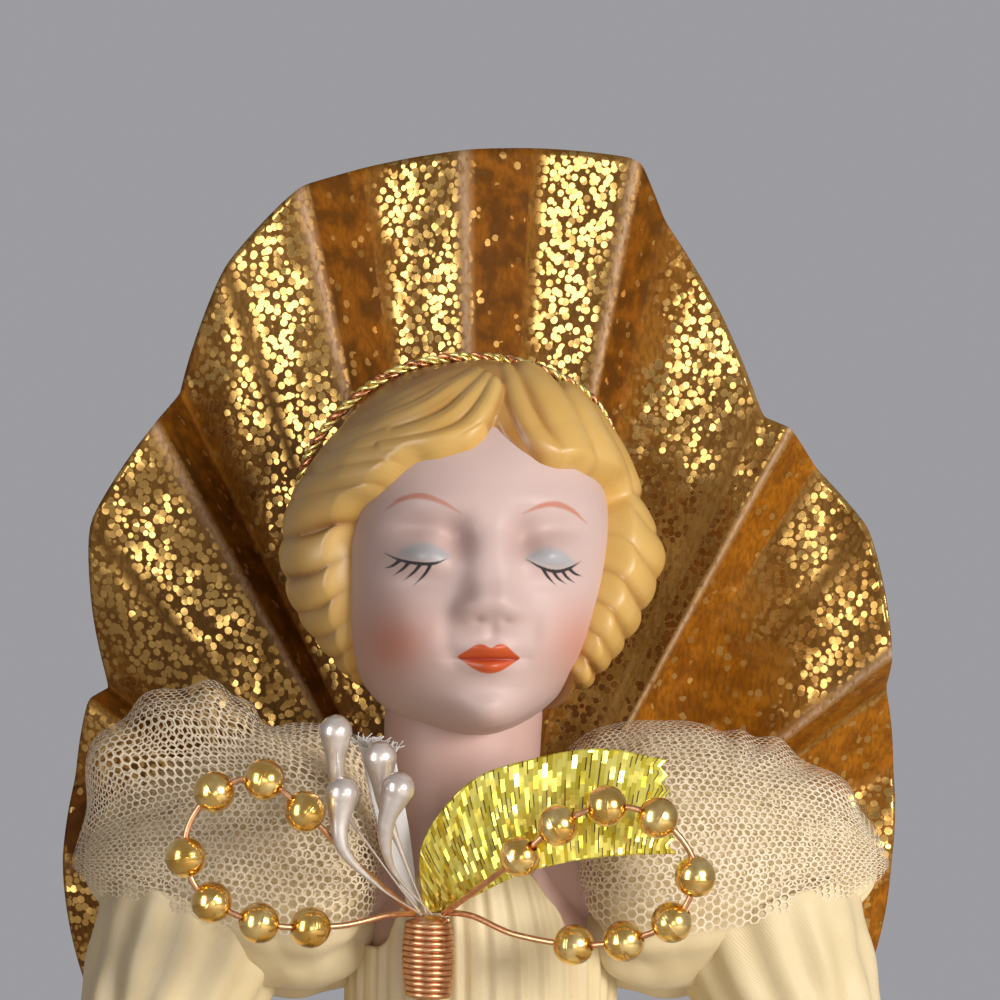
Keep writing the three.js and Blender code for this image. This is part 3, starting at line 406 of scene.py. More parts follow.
# Painted strokes, each a run of (x, height above the chin), and their thickness from end to end
BROWS = [[(-9.9, 21.9), (-8.6, 22.9), (-6.8, 23.3), (-4.8, 22.7), (-2.9, 21.6)],
         [(3.0, 21.6), (4.6, 22.3), (6.2, 22.5), (8.0, 21.9), (9.7, 20.6)]]
BROW_THICK = (0.10, 0.5, 0.64, 0.44, 0.10)
LASH_LINES = [[(-10.0, 17.8), (-8.8, 17.2), (-7.2, 16.85), (-5.6, 16.85), (-4.3, 17.3)],
              [(3.3, 17.2), (4.8, 16.4), (6.2, 16.05), (7.5, 16.3), (8.9, 17.0)]]
LASHES = [[(-8.7, 17.1), (-9.3, 16.6), (-10.1, 16.3)], [(-7.9, 16.9), (-8.4, 16.3), (-9.3, 15.6)],
          [(-6.9, 16.7), (-7.4, 16.0), (-8.4, 15.1)], [(-5.9, 16.8), (-6.4, 15.8), (-7.5, 14.6)],
          [(7.6, 16.3), (8.3, 15.8), (9.2, 15.5)], [(6.9, 16.1), (7.4, 15.5), (8.3, 14.9)],
          [(5.9, 16.1), (6.5, 15.4), (7.4, 14.8)], [(4.9, 16.3), (5.4, 15.6), (6.3, 14.7)]]
LASH_LINE_THICK = (0.12, 0.28, 0.36, 0.34, 0.10)
LASH_THICK = (0.36, 0.26, 0.05)

# Painted shapes: places along x, then the heights of the upper and of the lower edge
LIDS = [((-9.3, -8.4, -7.3, -6.2, -5.0, -3.7), (17.4, 18.5, 19.0, 19.0, 18.6, 17.6),
         (17.4, 17.1, 16.9, 16.8, 16.9, 17.3)),
        ((2.9, 4.0, 5.0, 6.2, 7.4, 8.5), (17.3, 18.2, 18.6, 18.5, 17.9, 16.8),
         (17.2, 16.7, 16.3, 16.1, 16.2, 16.7))]
LIPS = ((-3.3, -2.5, -1.55, -0.95, -0.25, 0.5, 1.1, 2.0, 2.85),
        (7.95, 8.5, 9.1, 9.12, 8.82, 9.12, 9.1, 8.4, 7.75),
        (7.9, 7.25, 6.65, 6.4, 6.3, 6.4, 6.65, 7.2, 7.7))
LIP_LINE_HEIGHT = 7.68
LIP_LINE_WIDTH = 0.18

# Soft washes of paint: x, height above the chin, half-width, half-height, strength
BLUSH_PATCHES = [
    (-9.2, 9.0, 2.7, 3.0, 0.26), (-9.4, 9.6, 5.2, 5.4, 0.40), (8.8, 8.8, 4.4, 5.2, 0.55),
    (0, 1.4, 3.2, 1.4, 0.15)]
# Painted shade in the eye sockets, beside the nose and under the nostrils; the patches under the brows are
# partly eye-shadow paint and partly painted shade
PAINTED_SHADE_PATCHES = [
    (-3.3, 19.2, 1.4, 1.9, 0.45), (2.9, 18.9, 1.3, 1.9, 0.35), (-6.6, 20.2, 2.8, 1.1, 0.25),
    (5.9, 19.6, 2.8, 1.1, 0.28), (-2.5, 14.4, 1.2, 3.0, 0.12), (-1.3, 11.5, 0.8, 0.35, 0.4),
    (1.5, 11.4, 0.7, 0.3, 0.3)]


def towards(polar, around):
    """Unit directions: polar away from straight ahead, around from the figure's left up to the crown."""
    return np.stack([np.sin(polar) * np.cos(around), -np.cos(polar) + 0 * around,
                     np.sin(polar) * np.sin(around)], -1)


def skull_radius(direction):
    """Distance from the head's middle to a superellipsoid with its own depth before and behind."""
    depth = np.where(direction[..., 1] < 0, FACE_DEPTH, SKULL_DEPTH)
    height = np.where(direction[..., 2] < 0, FACE_RISE, CROWN_RISE)
    half = np.stack([np.full_like(depth, FACE_HALF_WIDTH), depth, height], -1)
    return (np.abs(direction / half) ** SQUARENESS).sum(-1) ** (-1 / SQUARENESS)


def ramp(value, start, end):
    """0 up to start and 1 from end on, straight between them; start may lie above end."""
    return np.clip((value - start) / (end - start), 0, 1)


def bells(x, z, forms):
    """A sum of bell-shaped forms: x, height, half-width, half-height and strength of each."""
    return sum(strength * np.exp(-((x - u) / width) ** 2 - ((z - v) / height) ** 2)
               for u, v, width, height, strength in forms)


def face_point(polar, around):
    """The skull's surface, pushed straight ahead by a sum of bell-shaped swellings and hollows. The jaw
    leans to the figure's right and the chin's front hangs lower than the throat."""
    direction = towards(polar, around)
    at = direction * skull_radius(direction)[..., None] + (0, 0, FACE_RISE)
    at[..., 0] -= JAW_LEAN * ramp(at[..., 2], JAW_TOP, 0) * np.sin(polar) ** 2
    paired = [(PAIR_MIDDLE + side * x, *rest) for side in (1, -1) for x, *rest in PAIRED_FORMS]
    ahead = np.clip(2.2 * np.cos(polar), 0, 1)
    at[..., 1] -= ahead * bells(at[..., 0], at[..., 2], MIDDLE_FORMS + paired)
    chin = np.exp(-(at[..., 0] / CHIN_SPAN) ** 2) * ramp(at[..., 2], CHIN_SPAN, 0)
    at[..., 2] -= CHIN_DROP * ahead * chin
    return at


def on_neck(points):
    """Head points turned about the upright and lifted to the chin's height."""
    x, y, z = np.moveaxis(points, -1, 0)
    return np.stack([np.cos(HEAD_TURN) * x - np.sin(HEAD_TURN) * y + HEAD_SHIFT,
                     np.sin(HEAD_TURN) * x + np.cos(HEAD_TURN) * y, z + CHIN_HEIGHT], -1)


def lengths_along(run):
    """The distance along a run of points to each of them."""
    return np.concatenate([[0], np.cumsum(np.linalg.norm(np.diff(run, axis=0), axis=1))])


def smooth_run(stops, count):
    """Evenly spaced points on a smooth run through stops: cubics timed by the root of each distance."""
    stops = np.asarray(stops, float)
    stops = np.concatenate([2 * stops[:1] - stops[1:2], stops, 2 * stops[-1:] - stops[-2:-1]])
    steps = np.diff(stops, axis=0)
    times = np.sqrt(np.linalg.norm(steps, axis=1))[:, None]
    before, after, following = times[:-2], times[1:-1], times[2:]
    leaving = after * (steps[:-2] / before - (stops[2:-1] - stops[:-3]) / (before + after)
                       + steps[1:-1] / after)
    arriving = after * (steps[1:-1] / after - (stops[3:] - stops[1:-2]) / (after + following)
                        + steps[2:] / following)
    at = np.linspace(0, len(steps) - 2, 60 * (len(steps) - 2) + 1)
    piece = np.minimum(at.astype(int), len(steps) - 3)
    t = (at - piece)[:, None]
    fine = (stops[1:-2][piece] * (2 * t ** 3 - 3 * t ** 2 + 1) + leaving[piece] * (t ** 3 - 2 * t ** 2 + t)
            + stops[2:-1][piece] * (3 * t ** 2 - 2 * t ** 3) + arriving[piece] * (t ** 3 - t ** 2))
    length = lengths_along(fine)
    even = np.linspace(0, length[-1], count)
    return np.stack([np.interp(even, length, column) for column in fine.T], -1)


def stroke(x, z, stops, thick):
    """How far inside a painted stroke each point is: half its thickness there, read between those
    given, less the distance to the stroke's middle line."""
    run = smooth_run(stops, 40)
    half = 0.5 * np.interp(np.linspace(0, 1, 40), np.linspace(0, 1, len(thick)), thick)
    return (half - np.hypot(x[..., None] - run[:, 0], z[..., None] - run[:, 1])).max(-1)


def lens(x, z, stations, upper, lower):
    """How far inside a shape each point is, between an upper and a lower edge over x."""
    inside = np.minimum(eased(x, stations, upper) - z, z - eased(x, stations, lower))
    return np.where((x > stations[0]) & (x < stations[-1]), inside, -1)


def paint_values(values, away):
    """A painted mark's values per point, with away behind the face and at the mesh's two poles."""
    return np.append(np.where(face[..., 1] < 0, values, away).ravel(), (away, away))


around = whole_turn(FACE_COLUMNS)
polar = np.radians(np.concatenate([np.linspace(0.4, 78, 170), np.linspace(81, 179, 26)]))[:, None]
face = face_point(polar, around)
x, z = face[..., 0], face[..., 2]
lash_strokes = [stroke(x, z, run, LASH_LINE_THICK) for run in LASH_LINES]
lash_strokes += [stroke(x, z, run, LASH_THICK) for run in LASHES]
strokes = {"brow": np.maximum(*(stroke(x, z, run, BROW_THICK) for run in BROWS)),
           "lash": np.max(lash_strokes, axis=0),
           "lid": np.maximum(*(lens(x, z, *shape) for shape in LIDS)), "lip": lens(x, z, *LIPS)}
washes = {"lip_line": np.exp(-((z - LIP_LINE_HEIGHT) / LIP_LINE_WIDTH) ** 2),
          "blush": bells(x, z, BLUSH_PATCHES), "shade": bells(x, z, PAINTED_SHADE_PATCHES)}
paint_marks = {name: paint_values(values, -1) for name, values in strokes.items()}
paint_marks |= {name: paint_values(values, 0) for name, values in washes.items()}
face_piece = add_piece("painted_face", *capped(on_neck(face)), bisque, paint_marks)
settle(face_piece, "figure", "porcelain_head")

# Moulded hair. Cast with the head and painted yellow: locks that part above the forehead and fall in
# combed waves over the temples, meeting at the nape.
HAIR_BACK = 14.2
HAIR_LIP = 1.2
HAIR_ROWS = 190
HAIR_COLUMNS = 520
LOCK_STEPS = 26
LOCK_LIFT = 1.25
COMB_PITCH = 0.7
COMB_DEPTH = 0.05
BACK_WAVES = 30
WAVE_LIFT = 0.7
CROWN_LIFT = 0.9
EDGE_SHARE = 0.035
EDGE_DROP = 1.9
HAIR_SINK = 0.45
# Colours: painted shade for the grooves, the yellow paint, a painted highlight in random patches, and the
# comb lines
HAIR_GROOVE_SHADE = (0.38, 0.165, 0.024, 1)
HAIR_LIGHT = (0.66, 0.405, 0.105, 1)
HAIR_PAINTED_HIGHLIGHT = (0.70, 0.49, 0.18, 1)
HAIR_COMBED = (0.45, 0.25, 0.05, 1)

# Round the face from the nape over the figure's left: the angle, and there how far from straight ahead
# the hairline lies, then how far out the hair's outline reaches
HAIRLINE = np.array([
    (-90, 128), (-72, 110), (-62, 80), (-52.8, 59), (-45.6, 55), (-36.4, 51.5), (-26.4, 50), (-14.6, 52),
    (-1.6, 56), (10.5, 61), (19.1, 67), (24, 72), (28.5, 70), (34.4, 61), (40.5, 53), (46.2, 48.3),
    (52, 42.5), (59.5, 39), (69.8, 38.2), (77.6, 40), (83.4, 43), (87.6, 46.5), (92.3, 42.5), (97.2, 39.7),
    (106.7, 38.9), (117.7, 40.6), (125, 43.9), (132.2, 45.6), (142.6, 48.3), (149.7, 52), (155.4, 57.6),
    (163.2, 62.5), (172.1, 64.5), (181.4, 64), (192.6, 64.5), (203.2, 67.7), (212.5, 72), (221.4, 80),
    (229.9, 91), (241, 103), (252, 114), (270, 128)])
HAIR_REACH = np.array([
    (-90, 14), (-60, 16.2), (-46, 16.6), (-36, 16.6), (-22, 17.2), (-9, 17.9), (1.5, 18.7), (14, 18.1),
    (30, 18.2), (55, 19), (70, 19), (88, 19.1), (111, 19.3), (132, 18.8), (155, 18.9), (170, 19.1),
    (182, 19.0), (194, 18.4), (209, 17.4), (226, 16.9), (240, 16.2), (270, 14)])

# Locks, each a run of points (x, height above the chin), its half-width and how far it stands out
LOCKS = [
    ([(0.6, 34.9), (-4.0, 33.5), (-9.4, 31.2), (-13.8, 28.4), (-16.4, 25.8)], 1.9, 0.55),
    ([(-1.0, 34.1), (-3.0, 33.1), (-6.0, 31.5), (-9.6, 30.1), (-13.4, 28.4)], 1.15, 0.8),
    ([(-0.2, 33.5), (-1.6, 32.3), (-3.8, 30.6), (-7.2, 29.3), (-11.4, 28.2)], 1.1, 0.9),
    ([(0.5, 32.9), (-0.5, 31.4), (-2.2, 29.7), (-5.0, 28.5), (-9.4, 27.7)], 1.15, 1.0),
    ([(-9.6, 28.8), (-12.2, 27.7), (-14.9, 26.1)], 1.5, 0.9),
    ([(-1.2, 29.3), (-4.9, 27.7), (-8.3, 27.2), (-10.9, 27.1), (-13.1, 26.7)], 1.25, 0.95),
    ([(-7.4, 26.0), (-10.9, 25.6), (-14.2, 24.9), (-17.3, 23.8)], 1.4, 1.0),
    ([(-10.6, 23.3), (-14.2, 22.5), (-17.0, 22.0), (-19.4, 21.0)], 1.8, 1.05),
    ([(-12.2, 20.0), (-15.5, 18.0), (-17.7, 17.4), (-19.9, 17.3)], 1.85, 1.05),
    ([(-12.4, 17.2), (-14.9, 14.7), (-17.3, 13.5), (-19.2, 13.2)], 1.75, 1.05),
    ([(-12.4, 14.4), (-14.6, 11.4), (-16.7, 10.5)], 1.55, 1.0),
    ([(-12.2, 11.6), (-14.0, 8.8), (-15.6, 8.1)], 1.35, 0.95),
    ([(-11.8, 9.0), (-13.1, 6.4), (-14.1, 5.9)], 1.2, 0.9),
    ([(-11.2, 6.9), (-12.1, 4.7)], 1.0, 0.8),
    ([(2.5, 34.4), (3.3, 31.6), (4.7, 29.2), (6.9, 27.0)], 1.25, 0.8),
    ([(5.0, 34.6), (6.8, 31.4), (8.0, 28.8), (8.7, 26.4)], 2.0, 1.15),
    ([(9.2, 32.6), (10.9, 29.3), (12.2, 26.7), (13.4, 24.6)], 1.9, 1.15),
    ([(11.2, 32.9), (13.3, 29.7), (14.9, 27.1), (15.6, 25.1)], 1.5, 0.95),
    ([(13.2, 24.4), (15.3, 22.3), (16.8, 20.6)], 1.4, 0.9),
    ([(12.4, 23.4), (15.3, 19.6), (18.4, 16.7)], 1.85, 1.1),
    ([(12.0, 19.8), (14.9, 15.8), (17.1, 13.7)], 1.65, 1.1),
    ([(11.3, 16.4), (13.6, 12.6), (15.2, 10.7)], 1.5, 1.05),
    ([(10.6, 13.0), (12.4, 9.6), (13.7, 8.1)], 1.35, 1.0),
    ([(9.8, 9.8), (11.6, 7.4), (12.7, 6.6)], 1.15, 0.9),
    ([(9.0, 7.2), (10.4, 5.2), (11.2, 4.7)], 1.0, 0.85),
]


def hair_mass(direction):
    """Radius of the hair without its locks: from a lip at the hairline it swells by a sine's quarter
    to the outline seen from the front, then follows an ellipse round to the back."""
    polar = np.arccos(np.clip(-direction[..., 1], -1, 1))
    around = (np.degrees(np.arctan2(direction[..., 2], direction[..., 0])) + 90) % 360 - 90
    edge = np.radians(eased(around, *HAIRLINE.T))
    reach = eased(around, *HAIR_REACH.T)
    lip = skull_radius(towards(edge, np.radians(around))) + HAIR_LIP
    swell = np.sin(np.clip((polar - edge) / np.maximum(np.pi / 2 - edge, 0.1), 0, 1) * np.pi / 2) ** 0.95
    behind = ((np.sin(polar) / reach) ** 2 + (np.cos(polar) / HAIR_BACK) ** 2) ** -0.5
    return np.where(polar < np.pi / 2, lip + (reach - lip) * swell, behind)


def unit(vectors):
    """Vectors brought to a length of one."""
    return vectors / np.linalg.norm(vectors, axis=-1, keepdims=True)


def lock_relief(x, z):
    """How far the locks stand out at points seen from the front, and where across its lock each is.
    A lock's section is a low arch about its run, widening to its tip; the highest lock counts."""
    height = np.zeros_like(x)
    across = np.zeros_like(x)
    for stops, width, out in LOCKS:
        run = smooth_run(stops, LOCK_STEPS)
        half = width * np.linspace(0.9, 1.18, LOCK_STEPS)
        ahead = unit(np.gradient(run, axis=0))
        off_x, off_z = x[..., None] - run[:, 0], z[..., None] - run[:, 1]
        near = (np.hypot(off_x, off_z) / half).argmin(-1)
        off_x, off_z = x - run[near, 0], z - run[near, 1]
        beside = ahead[near, 0] * off_z - ahead[near, 1] * off_x
        forward = ahead[near, 0] * off_x + ahead[near, 1] * off_z
        beyond = (np.abs(forward) - np.linalg.norm(run[1] - run[0])).clip(0)
        closest = np.hypot(beside, beyond) / half[near]
        lift = out * np.clip(1 - closest ** 2, 0, 1) ** 0.65
        across = np.where(lift > height, beside, across)
        height = np.maximum(height, lift)
    return height, across


around = np.linspace(-np.pi / 2, 1.5 * np.pi, HAIR_COLUMNS, endpoint=False)
edge = np.radians(eased(np.degrees(around), *HAIRLINE.T))
share = np.linspace(0, 1, HAIR_ROWS)[:, None] ** 1.6
direction = towards(edge + (np.radians(179) - edge) * share, around)
mass = hair_mass(direction)
bare = direction * mass[..., None]
relief, across = lock_relief(bare[..., 0], bare[..., 2] + FACE_RISE)

# Locks in front give way to waves behind; comb lines show on the locks at the top, on the figure's right
fade = ramp(bare[..., 1], 8, 1)
waves = 0.5 + 0.5 * np.cos(BACK_WAVES * around + 2.2 * np.sin(direction[..., 2] * 5))
top_right = ramp(bare[..., 2], 12.5, 15) * ramp(bare[..., 0], 0, -4)
combed = np.cos(2 * np.pi * across / COMB_PITCH) * COMB_DEPTH * relief * top_right
beside_face = 1 - 0.5 * ramp(np.arccos(-direction[..., 1]), 1.1, 1.55)
stands = fade * beside_face * (relief * LOCK_LIFT + combed) + (1 - fade) * WAVE_LIFT * waves
rounded = 1 - np.sqrt(1 - ramp(share, EDGE_SHARE, 0) ** 2)
crown = CROWN_LIFT * ramp(direction[..., 2], 0.7, 0.95)
hair_radius = mass - EDGE_DROP * rounded + (stands + crown - HAIR_SINK) * (1 - rounded)
hair = direction * hair_radius[..., None] + (0, 0, FACE_RISE)

hair_paint, hair_shader, place = finish("yellow hair paint", {
    "Specular IOR Level": 0.5, "Coat Roughness": 0.3, "Coat Weight": 0.25})
comb = mark(place, "across")
patch = noise(place, 150.0, 3.0)
strands = comb.math("SINE", comb * 19 + patch * 7)
thin = comb.math("SINE", comb * 43 + patch * 11)
# Painted shade: darker where the locks and the back waves are low, in the grooves; paler patches at random
# are painted highlight
body = between(step(mark(place, "high"), 0.25, 1.0), HAIR_GROOVE_SHADE, HAIR_LIGHT)
body = between(step(patch, 0.35, 0.75) * 0.4, body, HAIR_PAINTED_HIGHLIGHT)
between(step(strands, 0.2, 1.0) * 0.07, body, HAIR_COMBED).feed(hair_shader, "Base Color")
(0.38 + patch * 0.14).feed(hair_shader, "Roughness")
emboss(strands * 0.6 + thin * 0.4, 0.05, hair_shader)
hair_marks = {"high": np.append((fade * relief + (1 - fade) * waves).ravel(), (0, 0.5)),
              "across": np.append((fade * across + (1 - fade) * around * 16).ravel(), (0, 0))}
hair_piece = add_piece("moulded_hair", *capped(on_neck(hair)), hair_paint, hair_marks)
settle(hair_piece, "figure", "porcelain_head")

# Head braid. A cord of gold and copper threads twisted together, laid round the crown like a band and
# glued to the hair.
BRAID_TILT = np.radians(33)
BRAID_CANT = -0.03
BRAID_NORMAL = unit(np.array([BRAID_CANT, np.cos(BRAID_TILT), np.sin(BRAID_TILT)]))
BRAID_OFFSET = 9.3
BRAID_PITCH = 2.9
BRAID_STAND = 0.9
BRAID_WIND = 0.30
GOLD_STRAND = 0.24
COPPER_STRAND = 0.27
STRAND_SIDES = 8
GOLD_DEEP = (0.55, 0.36, 0.06, 1)
GOLD_BRIGHT = (1.0, 0.83, 0.33, 1)
COPPER_DEEP = (0.30, 0.09, 0.03, 1)
COPPER_BRIGHT = (0.80, 0.36, 0.17, 1)


def braid_route(count):
    """Where a tilted plane cuts the hair: along each ray in the plane, the distance is halved towards
    the one at which a point lies just outside the hair."""
    across = unit(np.cross((1, 0, 0), BRAID_NORMAL))
    level = np.cross(BRAID_NORMAL, across)
    angle = whole_turn(count)[:, None]
    ray = np.cos(angle) * level + np.sin(angle) * across
    near, far = np.zeros((count, 1)), np.full((count, 1), 40.0)
    for halving in range(30):
        middle = (near + far) / 2
        at = BRAID_NORMAL * BRAID_OFFSET + ray * middle
        length = np.linalg.norm(at, axis=1, keepdims=True)
        outside = length > hair_mass(at / length)[:, None] + BRAID_STAND
        near, far = np.where(outside, near, middle), np.where(outside, middle, far)
    return BRAID_NORMAL * BRAID_OFFSET + ray * near + (0, 0, FACE_RISE)


def closed_frame(route):
    """Two directions across a closed route at each point, the first of them away from its middle."""
    ahead = unit(np.roll(route, -1, 0) - np.roll(route, 1, 0))
    out = route - route.mean(0)
    out = unit(out - (out * ahead).sum(1, keepdims=True) * ahead)
    return out, np.cross(ahead, out)


def circles(out, over, sides):
    """A unit circle of points in each plane that two directions give."""
    angle = whole_turn(sides)[:, None]
    return np.cos(angle) * out[..., None, :] + np.sin(angle) * over[..., None, :]


def looped(rings):
    """Points and faces of rings joined in order and back to the first."""
    rows, sides = rings.shape[:2]
    quads = grid_quads(rows + 1, sides, True) % (rows * sides)
    return rings.reshape(-1, 3), [quads]


def twisted(route, offset, radius, turns, phases):
    """Closed strands that wind round a closed route a whole number of turns, one from each phase."""
    out, over = closed_frame(route)
    strands = []
    for phase in phases:
        wind = np.linspace(0, 2 * np.pi * turns, len(route), endpoint=False)[:, None] + phase
        path = route + offset * (np.cos(wind) * out + np.sin(wind) * over)
        strands.append(looped(path[:, None] + radius * circles(*closed_frame(path), STRAND_SIDES)))
    return joined(*strands)


def thread_finish(name, deep, bright):
    """Metal thread: fine turns of foil across the strand, each with a shade of its own."""
    material, shader, place = finish(name, {"Metallic": 0.9, "Specular IOR Level": 0.6})
    shade = place.node("TexVoronoi", None, {"Vector": place, "Scale": 3200.0}, "Color").part("Red")
    between(shade, deep, bright).feed(shader, "Base Color")
    (0.18 + shade * 0.25).feed(shader, "Roughness")
    emboss(shade, 0.6, shader)
    return material


gold_thread = thread_finish("gold thread", GOLD_DEEP, GOLD_BRIGHT)
copper_thread = thread_finish("copper thread", COPPER_DEEP, COPPER_BRIGHT)
braid_path = on_neck(braid_route(900))
braid_turns = round(lengths_along(braid_path)[-1] / BRAID_PITCH)
for name, radius, phases, thread in (("head_braid_gold", GOLD_STRAND, (0, 1.9), gold_thread),
                                     ("head_braid_copper", COPPER_STRAND, (4.1,), copper_thread)):
    braid = add_piece(name, *twisted(braid_path, BRAID_WIND, radius, braid_turns, phases), thread)
    settle(braid, "figure", "head_braid")

# Bodice. Cream satin wrapped round the shoulder plate and the cone's top and glued behind; the cloth
# is drawn in small upright gathers.
SATIN_LIGHT = (0.77, 0.65, 0.40, 1)
SATIN_DEEP = (0.71, 0.58, 0.33, 1)
BODICE_TOP = 147.5
YOKE_RISE = 9
YOKE_SINE = (0.66, 0.95)
BODICE_BOTTOM = 119.8
BODICE_WAIST = (12.35, 12.35, 0, 0)
BODICE_EASE = (0.3, 0.3, 0, 0)
BODICE_ROWS = 64
BODICE_COLUMNS = 240


def crumple(points, size, seed):
    """Smooth seeded relief from about -1 to 1: the mean of sine waves in random directions."""
    chance = np.random.default_rng(seed)
    waves = chance.normal(size=(points.shape[-1], 16))
    waves *= 2 * np.pi / size * chance.uniform(0.6, 1.5, 16) / np.linalg.norm(waves, axis=0)
    return np.sin(points @ waves + chance.uniform(0, 2 * np.pi, 16)).mean(-1) * 2


def corner_places(rows, columns, across, along, ring=False):
    """Each quad's corner places on the cloth, in millimetres, over a grid that may close on itself."""
    u = np.linspace(0, across, columns + 1 if ring else columns)
    v = np.linspace(0, along, rows)
    place = np.stack(np.meshgrid(u, v), -1)
    return np.stack([place[:-1, :-1], place[:-1, 1:], place[1:, 1:], place[1:, :-1]], 2).reshape(-1, 2)


def smooth(share):
    """A share from 0 to 1 eased at both ends by a cubic."""
    return share ** 2 * (3 - 2 * share)


def satin_finish(name, deep, light):
    """Satin: floats of thread across a fine twill, a soft sheen, and cloudy shading."""
    material, shader, place = finish(name, {
        "Specular IOR Level": 0.45, "Sheen Weight": 0.25, "Sheen Roughness": 0.4})
    cloth = place.node("UVMap")
    ends, picks = cloth.part("X"), cloth.part("Y")
    cloud = noise(place, 120.0, 3.0)
    twill = ends.math("SINE", ends * 26 + picks * 9)
    floats = ends.math("SINE", picks * 34 + ends.math("SINE", ends * 7))
    between(step(cloud, 0.3, 0.75), deep, light).feed(shader, "Base Color")
    (0.40 + cloud * 0.16 + twill * 0.05).feed(shader, "Roughness")
    emboss(twill * 0.6 + floats * 0.4, 0.12, shader)
    return material


def cloth_sheet(name, grid, material, across, along, ring=False, turn=1, swap=1):
    """A sheet over a grid of points, with its cloth's width and length in millimetres. Ring joins its
    sides, turn -1 turns its faces over and swap -1 lays the width along it."""
    rows, columns = grid.shape[:2]
    places = corner_places(rows, columns, across, along, ring)[:, ::swap]
    return add_piece(name, grid, [grid_quads(rows, columns, ring)[:, ::turn]], material, uv=places,
                     closed=False)


def thicken(piece, millimetres, offset=-1):
    """Gives a sheet its thickness; offset -1 puts it behind the sheet's face."""
    wall = piece.modifiers.new("cloth thickness", "SOLIDIFY")
    wall.thickness = millimetres * 0.001
    wall.offset = offset


satin = satin_finish("cream satin", SATIN_DEEP, SATIN_LIGHT)
angle = whole_turn(BODICE_COLUMNS)
bodice_top = BODICE_TOP + YOKE_RISE * smooth(ramp(np.abs(np.sin(angle)), *YOKE_SINE))
height = BODICE_BOTTOM + (bodice_top - BODICE_BOTTOM) * np.linspace(0, 1, BODICE_ROWS)[:, None]
to_bust = ramp(height, BODICE_BOTTOM, BUST_BOTTOM)[..., None]
bust_at = eased(np.maximum(height, BUST_BOTTOM), BUST_LEVELS[:, 0], BUST_LEVELS[:, 1:]) + BODICE_EASE
bodice_wide, bodice_deep, bodice_x, bodice_y = np.moveaxis(
    bust_at * to_bust + np.array(BODICE_WAIST) * (1 - to_bust), -1, 0)
gathers = 1.0 + 0.16 * np.cos(41 * angle + 3 * np.sin(3 * angle)) + 0.10 * np.cos(67 * angle + height / 9)
bodice_grid = np.stack([bodice_x + (bodice_wide + gathers) * np.cos(angle),
                        bodice_y + (bodice_deep + gathers) * np.sin(angle), height], -1)
bodice = cloth_sheet("satin_bodice", bodice_grid, satin, 78, 34, True)
thicken(bodice, 0.6)
settle(bodice, "figure", "bodice")

# Skirt. Cream satin gathered on a band round the cone, falling in twelve soft folds to the floor. The
# band is glued to the card, and the skirt hangs free below it.
HEM_HEIGHT = 0.8
SKIRT_TOP = 116
BAND_HEIGHTS = (119.5, 118.4, 117.2)
BAND_STAND = 1.3
CONE_RADIUS = 44
CONE_NARROWING = 40
SKIRT_TOP_RADIUS = 14.37
HEM_RADIUS = 57
SKIRT_ROWS = 110
SKIRT_COLUMNS = 420


def skirt_surface(share, angle, out):
    """A bell whose radius opens quickly and then falls steeply, with twelve folds that deepen towards
    the hem and finer gathers at the waist; out moves it away from the middle."""
    flare = 1 - (1 - share) ** 1.6
    folds = 3 * share ** 1.2 * np.cos(12 * angle + 0.35 * np.sin(5 * angle) * share)
    folds += 0.5 * share ** 0.7 * np.cos(29 * angle + 2 * share) * (1 - 0.5 * share)
    gathers = 0.3 * np.cos(53 * angle) * np.exp(-share * 9)
    radius = SKIRT_TOP_RADIUS + (HEM_RADIUS - SKIRT_TOP_RADIUS) * flare + folds - 0.4 + gathers + out
    return upright_rings(radius, angle, SKIRT_TOP + (HEM_HEIGHT - SKIRT_TOP) * share)


angle = whole_turn(SKIRT_COLUMNS)
band = np.array(BAND_HEIGHTS)[:, None]
band_rings = upright_rings(CONE_RADIUS - CONE_NARROWING * band / CONE_TOP + BAND_STAND, angle, band)
skirt_rings = skirt_surface(np.linspace(0, 1, SKIRT_ROWS)[:, None] ** 1.2, angle, 0)
skirt_grid = np.concatenate([band_rings, skirt_rings])
skirt = cloth_sheet("satin_skirt_folds", skirt_grid, satin, 360, 135, True, -1)
thicken(skirt, 0.5)
settle(skirt, "figure", "satin_skirt")

# Net overskirt. One layer of cream tulle over the satin, gathered at the waist with it and cut a
# little shorter.
NET_THREAD = (0.86, 0.75, 0.56, 1)
NET_SHADE = (0.77, 0.64, 0.44, 1)
NET_EDGE = 0.03
OVERSKIRT_ROWS = 80
OVERSKIRT_COLUMNS = 360


def net_finish(name, cell, thread):
    """Tulle: six-sided holes of one width, in millimetres on the cloth, between threads. Two staggered
    grids of cell middles are tried, and the nearer one gives the distance to the hole's edge."""
    material, shader, cloth = finish(name, {"Roughness": 0.7, "Sheen Weight": 0.2}, ("UVMap", "UV"))
    u, v = cloth.part("X") / cell, cloth.part("Y") / cell
    rise = 3 ** 0.5

    def from_middle(u, v):
        """Distance from the nearest middle of one grid, as a six-sided cell measures it."""
        across = u.math("ABSOLUTE", u.math("WRAP", u, 0.5, -0.5))
        up = v.math("ABSOLUTE", v.math("WRAP", v, rise / 2, -rise / 2))
        return u.math("MAXIMUM", across, across * 0.5 + up * (rise / 2))

    edge = u.math("MINIMUM", from_middle(u, v), from_middle(u + 0.5, v + rise / 2))
    hole = 0.5 - thread / cell * 0.5
    step(edge, hole - NET_EDGE, hole + NET_EDGE).feed(shader, "Alpha")
    between(step(noise(cloth, 0.4, 3.0), 0.3, 0.7), NET_SHADE, NET_THREAD).feed(shader, "Base Color")
    return material


